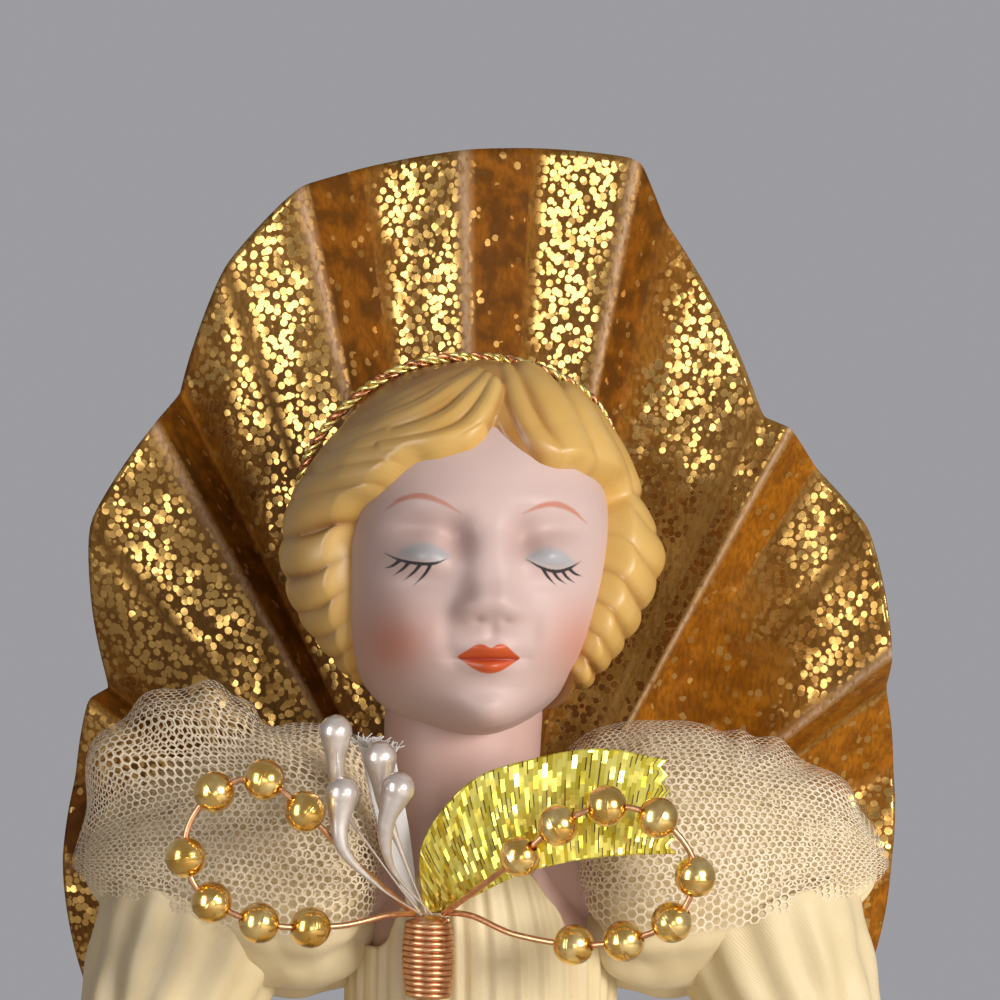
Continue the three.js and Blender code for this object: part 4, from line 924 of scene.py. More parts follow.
net = net_finish("cream tulle", 1.0, 0.2)
angle = whole_turn(OVERSKIRT_COLUMNS)
share = np.linspace(0.01, 0.86, OVERSKIRT_ROWS)[:, None] ** 1.1
overskirt_grid = skirt_surface(share, angle, 0.9 + 0.25 * np.cos(17 * angle))
overskirt = cloth_sheet("net_overskirt_folds", overskirt_grid, net, 322, 116, True, -1)
settle(overskirt, "figure", "net_overskirt")

# Waist sash. Gold lurex ribbon wound round the waist over the skirt's band, its end glued behind. It
# covers the join of the bodice and the skirt.
LUREX_GAP = (0.12, 0.075, 0.004, 1)
LUREX_DEEP = (0.76, 0.62, 0.025, 1)
LUREX_BRIGHT = (0.96, 0.87, 0.20, 1)
FLOAT_ROW = 0.46
FLOAT_LENGTH = 1.05
SASH_BOTTOM = 116
SASH_WIDTH = 7
SASH_LOWER_RADIUS = 15.4
SASH_UPPER_RADIUS = 14.45
SASH_ROWS = 24
SASH_COLUMNS = 200


def lean_normal(lean, shader):
    """Pushes a shader's normal over by a lean."""
    leaned = lean.vector("ADD", {0: lean.node("NewGeometry", out="Normal"), 1: lean})
    lean.vector("NORMALIZE", {0: leaned}).feed(shader, "Normal")


def lurex_finish(name):
    """Lurex: rows of flat foil floats across the ribbon, some rows parted by a thin dark gap; each float
    is a small rectangle with its own shade and lean."""
    material, shader, cloth = finish(name, {"Specular IOR Level": 0.6}, ("UVMap", "UV"))
    across = cloth.part("X")
    along = (cloth.part("Y") + across * 0.45) / FLOAT_ROW
    row = along.math("FLOOR", along)
    column = along.math("FLOOR", across / FLOAT_LENGTH + row * 0.37)
    float_key = cloth.node("CombineXYZ", None, {"X": column, "Y": row})
    tilt = cloth.node("TexWhiteNoise", {"noise_dimensions": "2D"}, {"Vector": float_key}, "Color")
    gap = step(tilt.part("Green"), 0.6, 0.7) * step(along.math("FRACT", along), 0.62, 0.76)
    shade = between(tilt.part("Red"), LUREX_DEEP, LUREX_BRIGHT)
    between(gap, shade, LUREX_GAP).feed(shader, "Base Color")
    (0.5 - gap * 0.3).feed(shader, "Metallic")
    (0.2 + gap * 0.3).feed(shader, "Roughness")
    lean = tilt.vector("SUBTRACT", {0: tilt, 1: (0.34, 0.5, 0.44)})
    lean_normal(lean.vector("SCALE", {0: lean, "Scale": 0.8}), shader)
    return material


lurex = lurex_finish("gold lurex ribbon")
angle = whole_turn(SASH_COLUMNS)
height = np.linspace(SASH_BOTTOM, SASH_BOTTOM + SASH_WIDTH, SASH_ROWS)[:, None]
sash_taper = (SASH_UPPER_RADIUS - SASH_LOWER_RADIUS) * (height - SASH_BOTTOM) / SASH_WIDTH
sash_radius = SASH_LOWER_RADIUS + sash_taper + 0.22 * np.cos(height * 2.2 + np.sin(angle * 2))
sash_grid = upright_rings(sash_radius, angle, height)
sash = cloth_sheet("waist_sash_ribbon", sash_grid, lurex, 94, SASH_WIDTH, True, swap=-1)
thicken(sash, 0.35)
settle(sash, "figure", "waist_sash")

# Wing fan. A strip of gold glitter lame folded in deep pleats and gathered at the foot, so that it
# opens behind the head as the wings. The foil is pressed on the cloth and has worn off along the fold
# lines. The deep folds, the inner wing beside the head and the panels turned from the lamp are painted
# darker and orange with few dots: painted shade and a painted glow of light bounced between the pleats.
FAN_RIDGES = np.array([6, 9, 11, 13, 16, 19])
FAN_FOOT = np.array([0, 15.1, 144.33])
FAN_NECK = 8
FAN_NECK_WIDTH = 11
PANEL_STEPS = 14
RIDGE_WIDTH = 0.06
WORN_WIDTH = 0.09
INNER_WING = (16.3, 20.5)
LAME_DEEP = (0.20, 0.095, 0.018, 1)
LAME_LIGHT = (0.32, 0.165, 0.04, 1)
LAME_STREAK = (0.10, 0.04, 0.005, 1)
# Painted highlight along the ridges
LAME_RIDGE_HIGHLIGHT = (0.62, 0.42, 0.27, 1)
FOIL_DOT = (0.56, 0.335, 0.10, 1)
# Painted shade with an orange glow of bounced light for deep folds and the inner wing, then darker painted
# shade for panels turned from the lamp
SHADE_GLOW_DEEP = (0.20, 0.06, 0.003, 1)
SHADE_GLOW_LIGHT = (0.45, 0.16, 0.008, 1)
AWAY_SHADE_DEEP = (0.085, 0.026, 0.002, 1)
AWAY_SHADE_LIGHT = (0.24, 0.075, 0.004, 1)

# Folds: angle, length, how far forward it comes, how far the panel after it bows, how far its rim curls
FAN_FOLDS = np.array([
    (-97, 41, -2, 0, 0), (-78, 44.3, 1, 0, 0), (-67, 45.8, -2, 0, 0), (-57.4, 48.2, 1.5, 0, 0),
    (-55, 47.2, -2.5, 0.5, 0), (-42.5, 59.8, 3.2, 0.3, 0), (-31.5, 63.8, 6.5, 0, 0),
    (-28.6, 65.6, -3, 0.3, 0), (-20.5, 75.5, 2, 0.2, 0), (-13.3, 80.9, 5, -0.2, 0),
    (-8.6, 82, -1.6, -0.2, 0), (-1.2, 82.6, 3.6, 0, 0), (3.8, 83.2, -1.2, 0.15, 1),
    (11.2, 83.2, 3.2, -0.3, 1), (14, 77.9, -2.4, -0.3, 2.5), (27.4, 62.1, 4.2, 0, 3),
    (30.2, 62.4, 7, -0.3, 2), (34.5, 60.5, 2.2, -0.2, 3), (42, 58.8, 4.6, 0.2, 4.5),
    (53.4, 51.7, 7.4, 0, 5), (56.6, 49.8, 1, 0, 2), (66, 46.8, -2, 0, 0), (78, 43.3, 1, 0, 0),
    (97, 39.6, -2, 0, 0)])
FAN_PANELS = len(FAN_FOLDS) - 1


def fan_surface(fold, reach):
    """Straight runs from a gathered neck to the rim: fold is a fold's number, with bowed panels between
    whole numbers, and reach runs from 0 at the neck to 1 at the rim; below 0 the neck hangs down."""
    columns = FAN_FOLDS.T[[0, 1, 2, 4]]
    angle, length, forward, curl = (np.interp(fold, np.arange(len(FAN_FOLDS)), column) for column in columns)
    bow = FAN_FOLDS[np.minimum(fold.astype(int), FAN_PANELS - 1), 3] * 4 * (fold % 1) * (1 - fold % 1)
    out = np.clip(reach, 0, 1)
    rim_x, rim_z = length * np.sin(np.radians(angle)), length * np.cos(np.radians(angle))
    neck_x = FAN_NECK_WIDTH * (fold / FAN_PANELS - 0.5)
    gather = 0.3 * np.cos(np.pi * fold) * (1 - out)
    y = gather + 8 * out - (forward + bow) * out ** 1.4 - curl * np.clip(out * 2 - 1, 0, 1) ** 2
    z = rim_z * out + FAN_NECK * np.minimum(reach, 0)
    return np.stack([neck_x + (rim_x - neck_x) * out, y, z], -1) + FAN_FOOT


def foil_finish(name):
    """Glitter lame: round foil dots on brown-gold cloth, each leaning a little its own way, so that those
    on a panel turned to the lamp flash together. A painted highlight makes the creases paler; deep folds
    get painted shade and a painted orange glow, with few dots."""
    material, shader, place = finish(name, {"Specular IOR Level": 0.06})
    dots = {"Vector": place, "Scale": 1300.0, "Randomness": 0.9}
    distance, key = (place.node("TexVoronoi", None, dots, out) for out in ("Distance", "Color"))
    chance = key.part("Red")
    crease, deep, worn, away = (mark(place, name) for name in ("crease", "deep", "worn", "away"))
    cloud = noise(place, 140.0)
    streak_place = place.node("Mapping", None, {"Vector": place, "Scale": (2600.0, 2600.0, 1100.0)})
    streaks = noise(streak_place, 1.0)
    mottle = step(noise(place, 420.0, 3.0), 0.35, 0.65)
    # Few foil dots where the painted shade and glow lie
    kept = mottle.math("MAXIMUM", 1 - step(deep + mottle * 0.5, 0.6, 0.95), step(chance, 0.88, 0.92) * 0.7)
    dot = step(0.6 - distance, 0.0, 0.12) * step(chance, 0.02, 0.06) * (1 - worn) * kept
    # Painted shade and a painted orange glow of light bounced between the pleats; panels turned from the lamp
    # get darker painted shade
    bare = between(mottle * 0.6 + cloud * 0.4, SHADE_GLOW_DEEP, SHADE_GLOW_LIGHT)
    bare = between(away, bare, between(mottle, AWAY_SHADE_DEEP, AWAY_SHADE_LIGHT))
    cloth = between(deep, between(step(cloud, 0.3, 0.7), LAME_DEEP, LAME_LIGHT), bare)
    cloth = between(step(streaks, 0.42, 0.62) * 0.4, cloth, LAME_STREAK)
    # Painted highlight: paler along the ridges, broken by the streaks
    cloth = between(crease * step(streaks, 0.2, 0.6) * 0.8, cloth, LAME_RIDGE_HIGHLIGHT)
    between(dot * 0.95, cloth, FOIL_DOT).feed(shader, "Base Color")
    (0.1 + dot * 0.85).feed(shader, "Metallic")
    (0.6 - dot * 0.37).feed(shader, "Roughness")
    crumples = noise(place, 330.0, 1.0, "Color")
    lean = place.vector("MULTIPLY_ADD", {0: crumples, 1: (1.5, 1.5, 1.5), 2: key})
    lean = place.vector("SUBTRACT", {0: lean, 1: (1.25, 1.25, 1.25)})
    lean_normal(place.vector("SCALE", {0: lean, "Scale": 0.17 * dot}), shader)
    return material


lame = foil_finish("gold glitter lame")
fold = np.linspace(0, FAN_PANELS, FAN_PANELS * PANEL_STEPS + 1)
reach = np.concatenate([np.linspace(-1, -0.05, 10), np.linspace(0, 1, 100)])[:, None]
fan_grid = fan_surface(fold, reach)
for rounding in range(3):
    fan_grid[:, 1:-1] = (fan_grid[:, :-2] + 2 * fan_grid[:, 1:-1] + fan_grid[:, 2:]) / 4
fan_grid[..., 1] += 0.35 * np.clip(reach, 0, 1) * crumple(fan_grid, 10, 4)
past_neck = np.clip(reach * 3, 0, 1)
# Where a ridge catches the light, for its painted highlight
painted_ridge_highlight = np.exp(-(np.abs(fold[:, None] - FAN_RIDGES).min(-1) / RIDGE_WIDTH) ** 2) * past_neck
fold_line = np.exp(-((fold - np.round(fold)) / WORN_WIDTH) ** 2) * past_neck
# Where the painted shade and glow fall: valleys that lie back, the inner wing beside the head, and panels
# that turn away from the lamp
hollow = np.clip(0.2 - np.interp(fold, np.arange(len(FAN_FOLDS)), FAN_FOLDS[:, 2]) / 5, 0, 1) + 0 * reach
inner_wing = ramp(reach, 0.86, 0.66) * ((fold > INNER_WING[0]) & (fold < INNER_WING[1]))
panel = np.minimum(fold.astype(int), FAN_PANELS - 1)
falls_back = np.clip((FAN_FOLDS[panel, 2] - FAN_FOLDS[panel + 1, 2]) / 3, 0, 0.92)
turned_back = falls_back * np.clip((fold % 1) * 8, 0, 1)
hollow = np.maximum(np.maximum(hollow, inner_wing), turned_back)
fan_marks = {"crease": painted_ridge_highlight, "deep": hollow, "worn": fold_line,
             "away": turned_back * (fold < 16) + 0 * reach}
fan = add_piece("pleated_wing_fan", fan_grid, [grid_quads(*fan_grid.shape[:2])], lame, fan_marks,
                closed=False)
thicken(fan, 0.3, 0)
settle(fan, "figure", "wing_fan")

# Wing tie. Gold cord of two twisted strands, wound twice round the fan's gathered neck and stitched to
# the bodice's back.
TIE_WIDE = 6.7
TIE_DEEP = 2.4
TIE_BACK = 15.1
TIE_HEIGHT = 139.33
TIE_RISES = (-0.48, 0.42)
TIE_WIND = 0.18
TIE_STRAND = 0.24
TIE_TWISTS = 16
TWO_STRANDS = (0, np.pi)


def tie_route(count, rise):
    """A squared oval round the fan's neck, raised by rise, so that two turns lie on each other."""
    angle = whole_turn(count)
    along, across = (np.sign(wave) * np.sqrt(np.abs(wave) + 1e-4) for wave in (np.cos(angle), np.sin(angle)))
    return np.stack([TIE_WIDE * along, TIE_BACK + TIE_DEEP * across, TIE_HEIGHT + rise + 0 * angle], -1)


tie_turns = [twisted(tie_route(240, rise), TIE_WIND, TIE_STRAND, TIE_TWISTS, TWO_STRANDS)
             for rise in TIE_RISES]
tie = add_piece("wing_tie_cord", *joined(*tie_turns), gold_thread)
settle(tie, "figure", "wing_tie")

# Arm wires. Soft steel wire from each shoulder stub to the forearm, inside the sleeve. The nodes are
# kept and get a drawn-wire finish.
SIDES = {"left": 1, "right": -1}
STEEL_DEEP = (0.40, 0.40, 0.41, 1)
STEEL_BRIGHT = (0.62, 0.62, 0.63, 1)


def wire_finish(name, deep, bright, fineness, dullness, spread):
    """Drawn wire: fine streaks of a deeper and a brighter shade, whose dullness spreads with them."""
    material, shader, place = finish(name, {"Metallic": 1.0})
    streaks = noise(place, fineness, 3.0)
    between(streaks, deep, bright).feed(shader, "Base Color")
    (dullness + streaks * spread).feed(shader, "Roughness")
    return material


steel = wire_finish("drawn steel wire", STEEL_DEEP, STEEL_BRIGHT, 1500.0, 0.3, 0.2)
for side in SIDES:
    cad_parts[side + "_arm_wire"].material_slots[0].material = steel

# Forearms. Bisque casts with the fingers held together, wired at the elbow end; the sleeve's cuff is
# tied round them.
FOREARM_START = np.array([28.1, -16, -33.2])
FOREARM_AIM = unit(np.array([-0.5, -0.86, 0.03]))
FOREARM_THICK = unit(np.cross(FOREARM_AIM, (0, 0, 1)))
FOREARM_WIDE = np.cross(FOREARM_THICK, FOREARM_AIM)
FINGER_STEPS = 26
FINGER_RADIUS = 0.88
THUMB_RADIUS = 0.98

# Ovals along the limb and in its wire's bore: place along, half-width, half-thickness, middle
LIMB_LEVELS = np.array([
    [0, 3.5, 3.5, 0, 0], [6.5, 3.2, 3.2, 0, 0], [11, 2.7, 2.55, 0, 0], [13, 2.5, 2.3, 0, 0],
    [16, 3.2, 1.9, 0, 0], [19, 3.7, 1.65, 0, 0], [21, 3.4, 1.35, 0, 0], [22, 2.4, 0.8, 0, 0]])
BORE_LEVELS = [[7, 1.1, 1.1, 0, 0], [0, 1.1, 1.1, 0, 0]]

# Fingers: place across the hand, and length
FINGERS = ((-2.6, 6.2), (-0.9, 7.8), (0.8, 8.0), (2.4, 7.0))


def on_side(points, side):
    """Points about the left shoulder, lifted to its height; side -1 mirrors them to the right."""
    return points * (side, 1, 1) + (0, 0, SHOULDER_HEIGHT)


def on_arm(points, side):
    """Forearm points (across, through, along) set at the arm's place; side -1 mirrors the arm."""
    return on_side(points @ np.stack([FOREARM_WIDE, FOREARM_THICK, FOREARM_AIM]) + FOREARM_START, side)


def round_rod(path, radius, sides, helper=(0, 1, 0)):
    """Rings of points round a path; each ring lies across it, turned from a fixed helper direction."""
    ahead = unit(np.gradient(path, axis=0))
    out = unit(np.cross(ahead, helper))
    thick = np.reshape(radius * np.ones(len(path)), (-1, 1, 1))
    return path[:, None] + thick * circles(out, np.cross(ahead, out), sides)


def finger(start, bend, end, radius):
    """A finger along a bent run: full at the knuckle, a little thinner to the tip, rounded there."""
    share = np.linspace(0, 1, FINGER_STEPS)
    rounded = np.sqrt(np.clip(1 - ((share - 0.86) / 0.142).clip(0) ** 2, 0.02, 1))
    run = smooth_run([start, bend, end], FINGER_STEPS)
    return capped(round_rod(run, radius * (1 - 0.22 * share) * rounded, 16))


limb_outside = oval_rings(eased(np.linspace(0, 22, 40), LIMB_LEVELS[:, 0], LIMB_LEVELS), 40)
limb = capped(np.concatenate([oval_rings(BORE_LEVELS, 40), limb_outside]))
fingers = [finger((x, 0, 19.8), (x * 1.1, 0.2, 20.8 + length * 0.55), (x * 1.18, -1.1, 21 + length),
                  FINGER_RADIUS) for x, length in FINGERS]
thumb = finger((2, -0.3, 15.5), (3.9, -0.9, 18.5), (5.4, -1.2, 22.4), THUMB_RADIUS)
hand_points, hand_faces = joined(limb, *fingers, thumb)
for side, sign in SIDES.items():
    forearm = add_piece(side + "_bisque_forearm", on_arm(hand_points, sign), hand_faces, bisque,
                        unpainted(hand_points))
    settle(forearm, side + "_arm", side + "_forearm")

# Sleeves. Cream satin: a stuffed puff over each shoulder stub, gathered at both ends, and a lower
# sleeve that follows the arm's wire down to the cuff.
PUFF_PROFILE = [(10.6, 3.6), (11, 8.4), (13.2, 11.9), (17.6, 13.1), (23, 12), (27.5, 10.4), (32, 8.2),
                (36, 5.4), (38.4, 2.6), (39, 0.8)]
PUFF_ROWS = 90
PUFF_SIDES = 160
SLEEVE_RUN = [(27, 0, -4), (30.5, -0.8, -14), (33, -4, -24.5), (30.8, -12, -31.5), (26, -20, -33.4),
              (23.6, -24, -33.5)]
SLEEVE_ROWS = 80
SLEEVE_SIDES = 96
SLEEVE_TOP_RADIUS = 11
CUFF_RADIUS = 5.4


def turned(profile, around, stand=0):
    """A profile (x, radius) turned about the shoulder line: its points, and its outward directions. The
    angle runs from the front over the top to the back, and stand lifts the surface."""
    x, radius = profile.T[:, :, None]
    ahead_x, ahead_out = unit(np.gradient(profile, axis=0)).T[:, :, None]
    outward = np.stack([-ahead_out + 0 * around, -ahead_x * np.cos(around), ahead_x * np.sin(around)], -1)
    at = np.stack([x + 0 * around, -radius * np.cos(around), radius * np.sin(around)], -1)
    return at + outward * stand, outward


def puff_surface(profile, around):
    """The puff's profile turned round, with gathers that are deepest at its two ends and soft creases."""
    at, outward = turned(profile, around)
    share = np.linspace(-1, 1, len(profile))[:, None]
    gathers = (0.25 + 0.5 * share ** 2) * np.cos(17 * around + 1.5 * np.sin(3 * around) + 2 * share)
    crease = 0.8 * np.abs(crumple(at, 11, 11)) + 0.3 * crumple(at, 5, 12)
    return at + outward * ((gathers + crease - 0.6) * np.clip(profile[:, 1:] / 6, 0, 1))[..., None]


puff_points, puff_faces = capped(puff_surface(smooth_run(PUFF_PROFILE, PUFF_ROWS), whole_turn(PUFF_SIDES)))
puff_places = corner_places(PUFF_ROWS, PUFF_SIDES, 80, 42, True).reshape(-1, 4, 2)
end_places = np.zeros((6 * PUFF_SIDES, 2))
sleeve_share = np.linspace(0, 1, SLEEVE_ROWS)
sleeve_radius = SLEEVE_TOP_RADIUS + (CUFF_RADIUS - SLEEVE_TOP_RADIUS) * sleeve_share ** 0.8
sleeve_rings = round_rod(smooth_run(SLEEVE_RUN, SLEEVE_ROWS), sleeve_radius, SLEEVE_SIDES, (1, 0, 0))
sleeve_angle = whole_turn(SLEEVE_SIDES)
sleeve_middle = sleeve_rings.mean(1, keepdims=True)
sleeve_wrinkle = 0.05 * crumple(sleeve_rings, 7, 21) + 0.03 * np.cos(14 * sleeve_angle)
cuff_gather = 0.09 * np.cos(17 * sleeve_angle) * sleeve_share[:, None] ** 3
sleeve_swell = (0.95 + sleeve_wrinkle + cuff_gather)[..., None]
sleeve_rings = sleeve_middle + (sleeve_rings - sleeve_middle) * sleeve_swell
sleeve_quads = grid_quads(SLEEVE_ROWS, SLEEVE_SIDES, True)
sleeve_places = corner_places(SLEEVE_ROWS, SLEEVE_SIDES, 52, 48, True).reshape(-1, 4, 2)
for side, sign in SIDES.items():
    puff_piece = add_piece(side + "_sleeve_puff", on_side(puff_points, sign),
                           [corners[:, ::-sign] for corners in puff_faces], satin,
                           uv=np.append(puff_places[:, ::-sign], end_places), closed=False)
    lower = add_piece(side + "_lower_sleeve", on_side(sleeve_rings, sign), [sleeve_quads[:, ::sign]], satin,
                      uv=sleeve_places[:, ::sign], closed=False)
    thicken(lower, 0.4)
    for piece in (puff_piece, lower):
        settle(piece, side + "_arm", side + "_sleeve")

# Puff nets. Cream tulle over each puff, doubled back on itself: one layer lies on the satin, the next
# leaves it above the front as a loose frill with folds like spokes, and a third lines the frill.
FRILL_PROFILE = {
    "left": [(8.6, 11.6), (12, 13.9), (17, 14.5), (23, 13.8), (29, 12), (34.4, 9), (38.4, 4.8), (40, 2)],
    "right": [(11, 11.6), (16, 13), (20.3, 14), (23.6, 16.2), (27, 17.6), (31, 17), (34.4, 15.6), (37, 13.2),
              (38.6, 9), (39.2, 4)]}
FRILL_CATCH = {"left": (25, 9), "right": (25.5, 11.5)}
FRILL_RISE = (35, 75)
NET_ROWS = 120
LINING_SCALE = (1, 0.94, 0.94)

# Layers: first and last angle, columns, width and length of the cloth, and how its threads are turned
NET_LAYERS = [(-25, 180, 190, 46, 44, [[1, 0], [0, 1]]), (-10, 104, 120, 34, 48, [[0.8, 0.6], [-0.6, 0.8]]),
              (48, 100, 70, 17, 48, [[0.94, -0.34], [0.34, 0.94]])]


def frill_surface(side, around):
    """On the puff below an angle of 35 degrees, and by a smooth step out to the frill's own profile at
    75. Folds run out from the catch like spokes, deeper away from it."""
    low = turned(smooth_run(PUFF_PROFILE, NET_ROWS), around, 1.3)[0]
    high, outward = turned(smooth_run(FRILL_PROFILE[side], NET_ROWS), around)
    rise = smooth(ramp(np.degrees(around), *FRILL_RISE))[:, None]
    at = low + (high - low) * rise
    off_x, off_z = at[..., 0] - FRILL_CATCH[side][0], at[..., 2] - FRILL_CATCH[side][1]
    away = np.hypot(off_x, off_z)
    spokes = np.cos(8 * np.arctan2(off_z, off_x) + 1.5 * np.sin(away / 4)) * np.clip(away / 9, 0, 1)
    loose = 0.45 * spokes + 0.8 * crumple(at, 15, 31) + 0.25 * crumple(at, 6, 32)
    return at + outward * loose[..., None] * (0.35 + 0.65 * rise)


low_around, frill_around, lining_around = (np.radians(np.linspace(*layer[:3])) for layer in NET_LAYERS)
low_layer, low_out = turned(smooth_run(PUFF_PROFILE, NET_ROWS), low_around, 0.8)
low_layer = low_layer + low_out * (0.4 * np.abs(crumple(low_layer, 9, 37)))[..., None]
net_places = np.concatenate([corner_places(NET_ROWS, columns, across, along) @ turn
                             for first, last, columns, across, along, turn in NET_LAYERS])
for side, sign in SIDES.items():
    lining = frill_surface(side, lining_around) * LINING_SCALE
    layers = [on_side(layer, sign) for layer in (low_layer, frill_surface(side, frill_around), lining)]
    net_parts = ((layer.reshape(-1, 3), [grid_quads(*layer.shape[:2])]) for layer in layers)
    net_piece = add_piece(side + "_puff_tulle", *joined(*net_parts), net, uv=net_places, closed=False)
    settle(net_piece, side + "_arm", side + "_puff_net")

# Wrist cords. One turn of gold cord, twisted from two strands, tied round each cuff where the sleeve
# meets the forearm.
CORD_PLACE = 11
CORD_RADIUS = 3.95
CORD_WIND = 0.22
CORD_STRAND = 0.26
CORD_TWISTS = 12
cord_ring = upright_rings(CORD_RADIUS, whole_turn(160), CORD_PLACE)
cord_points, cord_faces = twisted(cord_ring, CORD_WIND, CORD_STRAND, CORD_TWISTS, TWO_STRANDS)
for side, sign in SIDES.items():
    cord = add_piece(side + "_wrist_cord_twist", on_arm(cord_points, sign), cord_faces, gold_thread)
    settle(cord, side + "_arm", side + "_wrist_cord")

# Spray binding. Copper wire wound round the feet of the spray's stems, lying on the bodice's front. The
# stems' ends make the core inside its turns.
BINDING = np.array([-5, -13.36, 151])
BINDING_TURNS = 13
BINDING_FALL = 7.2
BINDING_WIRE = 0.3
CORE_LEVELS = [[-8, 1.2, 1.2, 0, 0], [-7.4, 1.7, 1.7, 0, 0], [-4, 2.0, 2.0, 0, 0],
               [-0.5, 1.7, 1.7, 0, 0], [0, 1.2, 1.2, 0, 0]]
WIRE_DEEP = (0.40, 0.16, 0.07, 1)
WIRE_BRIGHT = (0.85, 0.50, 0.27, 1)
copper = wire_finish("copper wire", WIRE_DEEP, WIRE_BRIGHT, 1800.0, 0.22, 0.25)
turn = np.linspace(0, BINDING_TURNS, BINDING_TURNS * 28 + 1)
bulge = 1.9 + 0.35 * np.sin(np.pi * turn / BINDING_TURNS)
winding = upright_rings(bulge, 2 * np.pi * turn, -0.4 - BINDING_FALL * turn / BINDING_TURNS)
wound = joined(capped(round_rod(winding, BINDING_WIRE, 8, (0, 0, 1)) + BINDING),
               capped(oval_rings(CORE_LEVELS, 28) + BINDING))
binding = add_piece("wound_spray_binding", *wound, copper)
settle(binding, "figure", "spray_binding")

# Bead wires. Two copper wires bowed out of the binding and back into it, stiff enough to stand. The
# beads are threaded on them.
BEAD_WIRE = 0.3
BEAD_RUNS = {
    "right": [(-1.5, 0.3, 0.3), (-4.5, -2.4, 3.2), (-7.8, -6.4, 6.6), (-11.3, -9, 10.5), (-15.6, -8.8, 13.7),
              (-19.9, -8.6, 12.5), (-22.6, -8.6, 8.5), (-21.6, -8.8, 3.4), (-16, -8.6, 0.2), (-8.5, -6, -0.4),
              (-3.6, -3.2, 0.4), (-1.3, -0.8, 0.3)],
    "left": [(1.5, -0.6, 0.3), (5.5, -5.5, 3.6), (9, -9, 6.6), (12.4, -10.6, 9.5), (17.1, -10.9, 11.3),
             (22.2, -10.6, 9.8), (25.2, -10, 5.4), (23.4, -9.4, 0.6), (16.5, -7.6, -2), (8.5, -4.4, -1.4),
             (4, -1.2, 0.2), (1.4, 0.7, 0.3)]}
bead_paths = {side: smooth_run(stops, 400) + BINDING for side, stops in BEAD_RUNS.items()}
for side, path in bead_paths.items():
    wire = add_piece(side + "_bead_wire_loop", *capped(round_rod(path, BEAD_WIRE, 12)), copper)
    settle(wire, "figure", side + "_bead_wire")

# Gold beads. Metallised plastic beads with a fine mould line round the middle, threaded on the wires
# and glued.
BEAD_RADIUS = 1.95
BEAD_HOLE = 0.48
BEAD_HOLE_END = 1.75
BEAD_COUNTS = {"right": 7, "left": 8}
TARNISH = (0.72, 0.42, 0.085, 1)
METALLISING = (1.0, 0.77, 0.32, 1)
gold, gold_shader, place = finish("metallised gold bead", {
    "Metallic": 1.0, "Coat Weight": 0.3, "Coat Roughness": 0.1})
tarnish = noise(place, 520.0, 4.0)
between(step(tarnish, 0.35, 0.75), TARNISH, METALLISING).feed(gold_shader, "Base Color")
(0.12 + tarnish * 0.18).feed(gold_shader, "Roughness")


def bead_rings(middle, axis):
    """A ball turned about the wire: a circle's arc with a low bump at its middle, then the hole."""
    swing = np.linspace(-1.28, 1.28, 61)
    arc = BEAD_RADIUS * np.cos(swing) + 0.035 * np.exp(-(swing / 0.05) ** 2)
    radius = np.append(arc, [BEAD_HOLE, BEAD_HOLE])[:, None, None]
    along = np.append(BEAD_RADIUS * np.sin(swing), [BEAD_HOLE_END, -BEAD_HOLE_END])[:, None, None]
    out = unit(np.cross(axis, (0.2, 0.9, 0.35)))
    return middle + along * axis + radius * circles(out, np.cross(axis, out), 48)


for side, count in BEAD_COUNTS.items():
    path = bead_paths[side]
    for number in range(1, count + 1):
        node = f"{side}_bead_{number}"
        middle = (np.array(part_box(node)[0]) + np.array(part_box(node)[1])) * 500
        near = np.linalg.norm(path - middle, axis=1).argmin()
        rings = bead_rings(path[near], unit(path[near + 1] - path[near - 1]))
        bead = add_piece(f"gold_bead_{side}_{number}", *looped(rings), gold)
        settle(bead, "figure", node)

# Pearl stamens. Drop-shaped heads dipped in pearl lacquer on thin stiff stems. Four are gathered in the
# binding.
STAMENS = [
    [(-0.9, 1.2, 0.3), (-4.6, -1.6, 5.5), (-8.2, -4.6, 11.5), (-8.7, -5.9, 19.6)],
    [(-0.6, -1.5, 0.3), (-4.6, -6.2, 3.4), (-8, -8, 7.4), (-7.8, -8, 13.9)],
    [(0.4, -1.7, 0.3), (-3.4, -5.4, 5.2), (-3.9, -6.9, 9), (-2.1, -7.6, 14.2)],
    [(-0.2, 0, 0.3), (-2.4, -1.9, 6), (-4.1, -2.9, 11), (-4.6, -3.4, 17)]]
STAMEN_STEPS = 240
STAMEN_SIDES = 28
STAMEN_STATIONS = (0, 0.12, 0.45, 0.95, 1.6, 2.6, 4.2, 6, 7.6, 9, 30)
STAMEN_RADII = (0.02, 0.52, 1.02, 1.42, 1.58, 1.36, 0.95, 0.74, 0.55, 0.4, 0.4)
NACRE_DEEP = (0.68, 0.60, 0.54, 1)
NACRE_LIGHT = (0.80, 0.73, 0.67, 1)
NACRE_EDGE_SHADE = (0.30, 0.22, 0.18, 1)
pearl, pearl_shader, place = finish("pearl lacquer", {
    "Metallic": 0.5, "Specular IOR Level": 0.6, "Coat Weight": 1.0, "Coat Roughness": 0.06, "Coat IOR": 1.7})
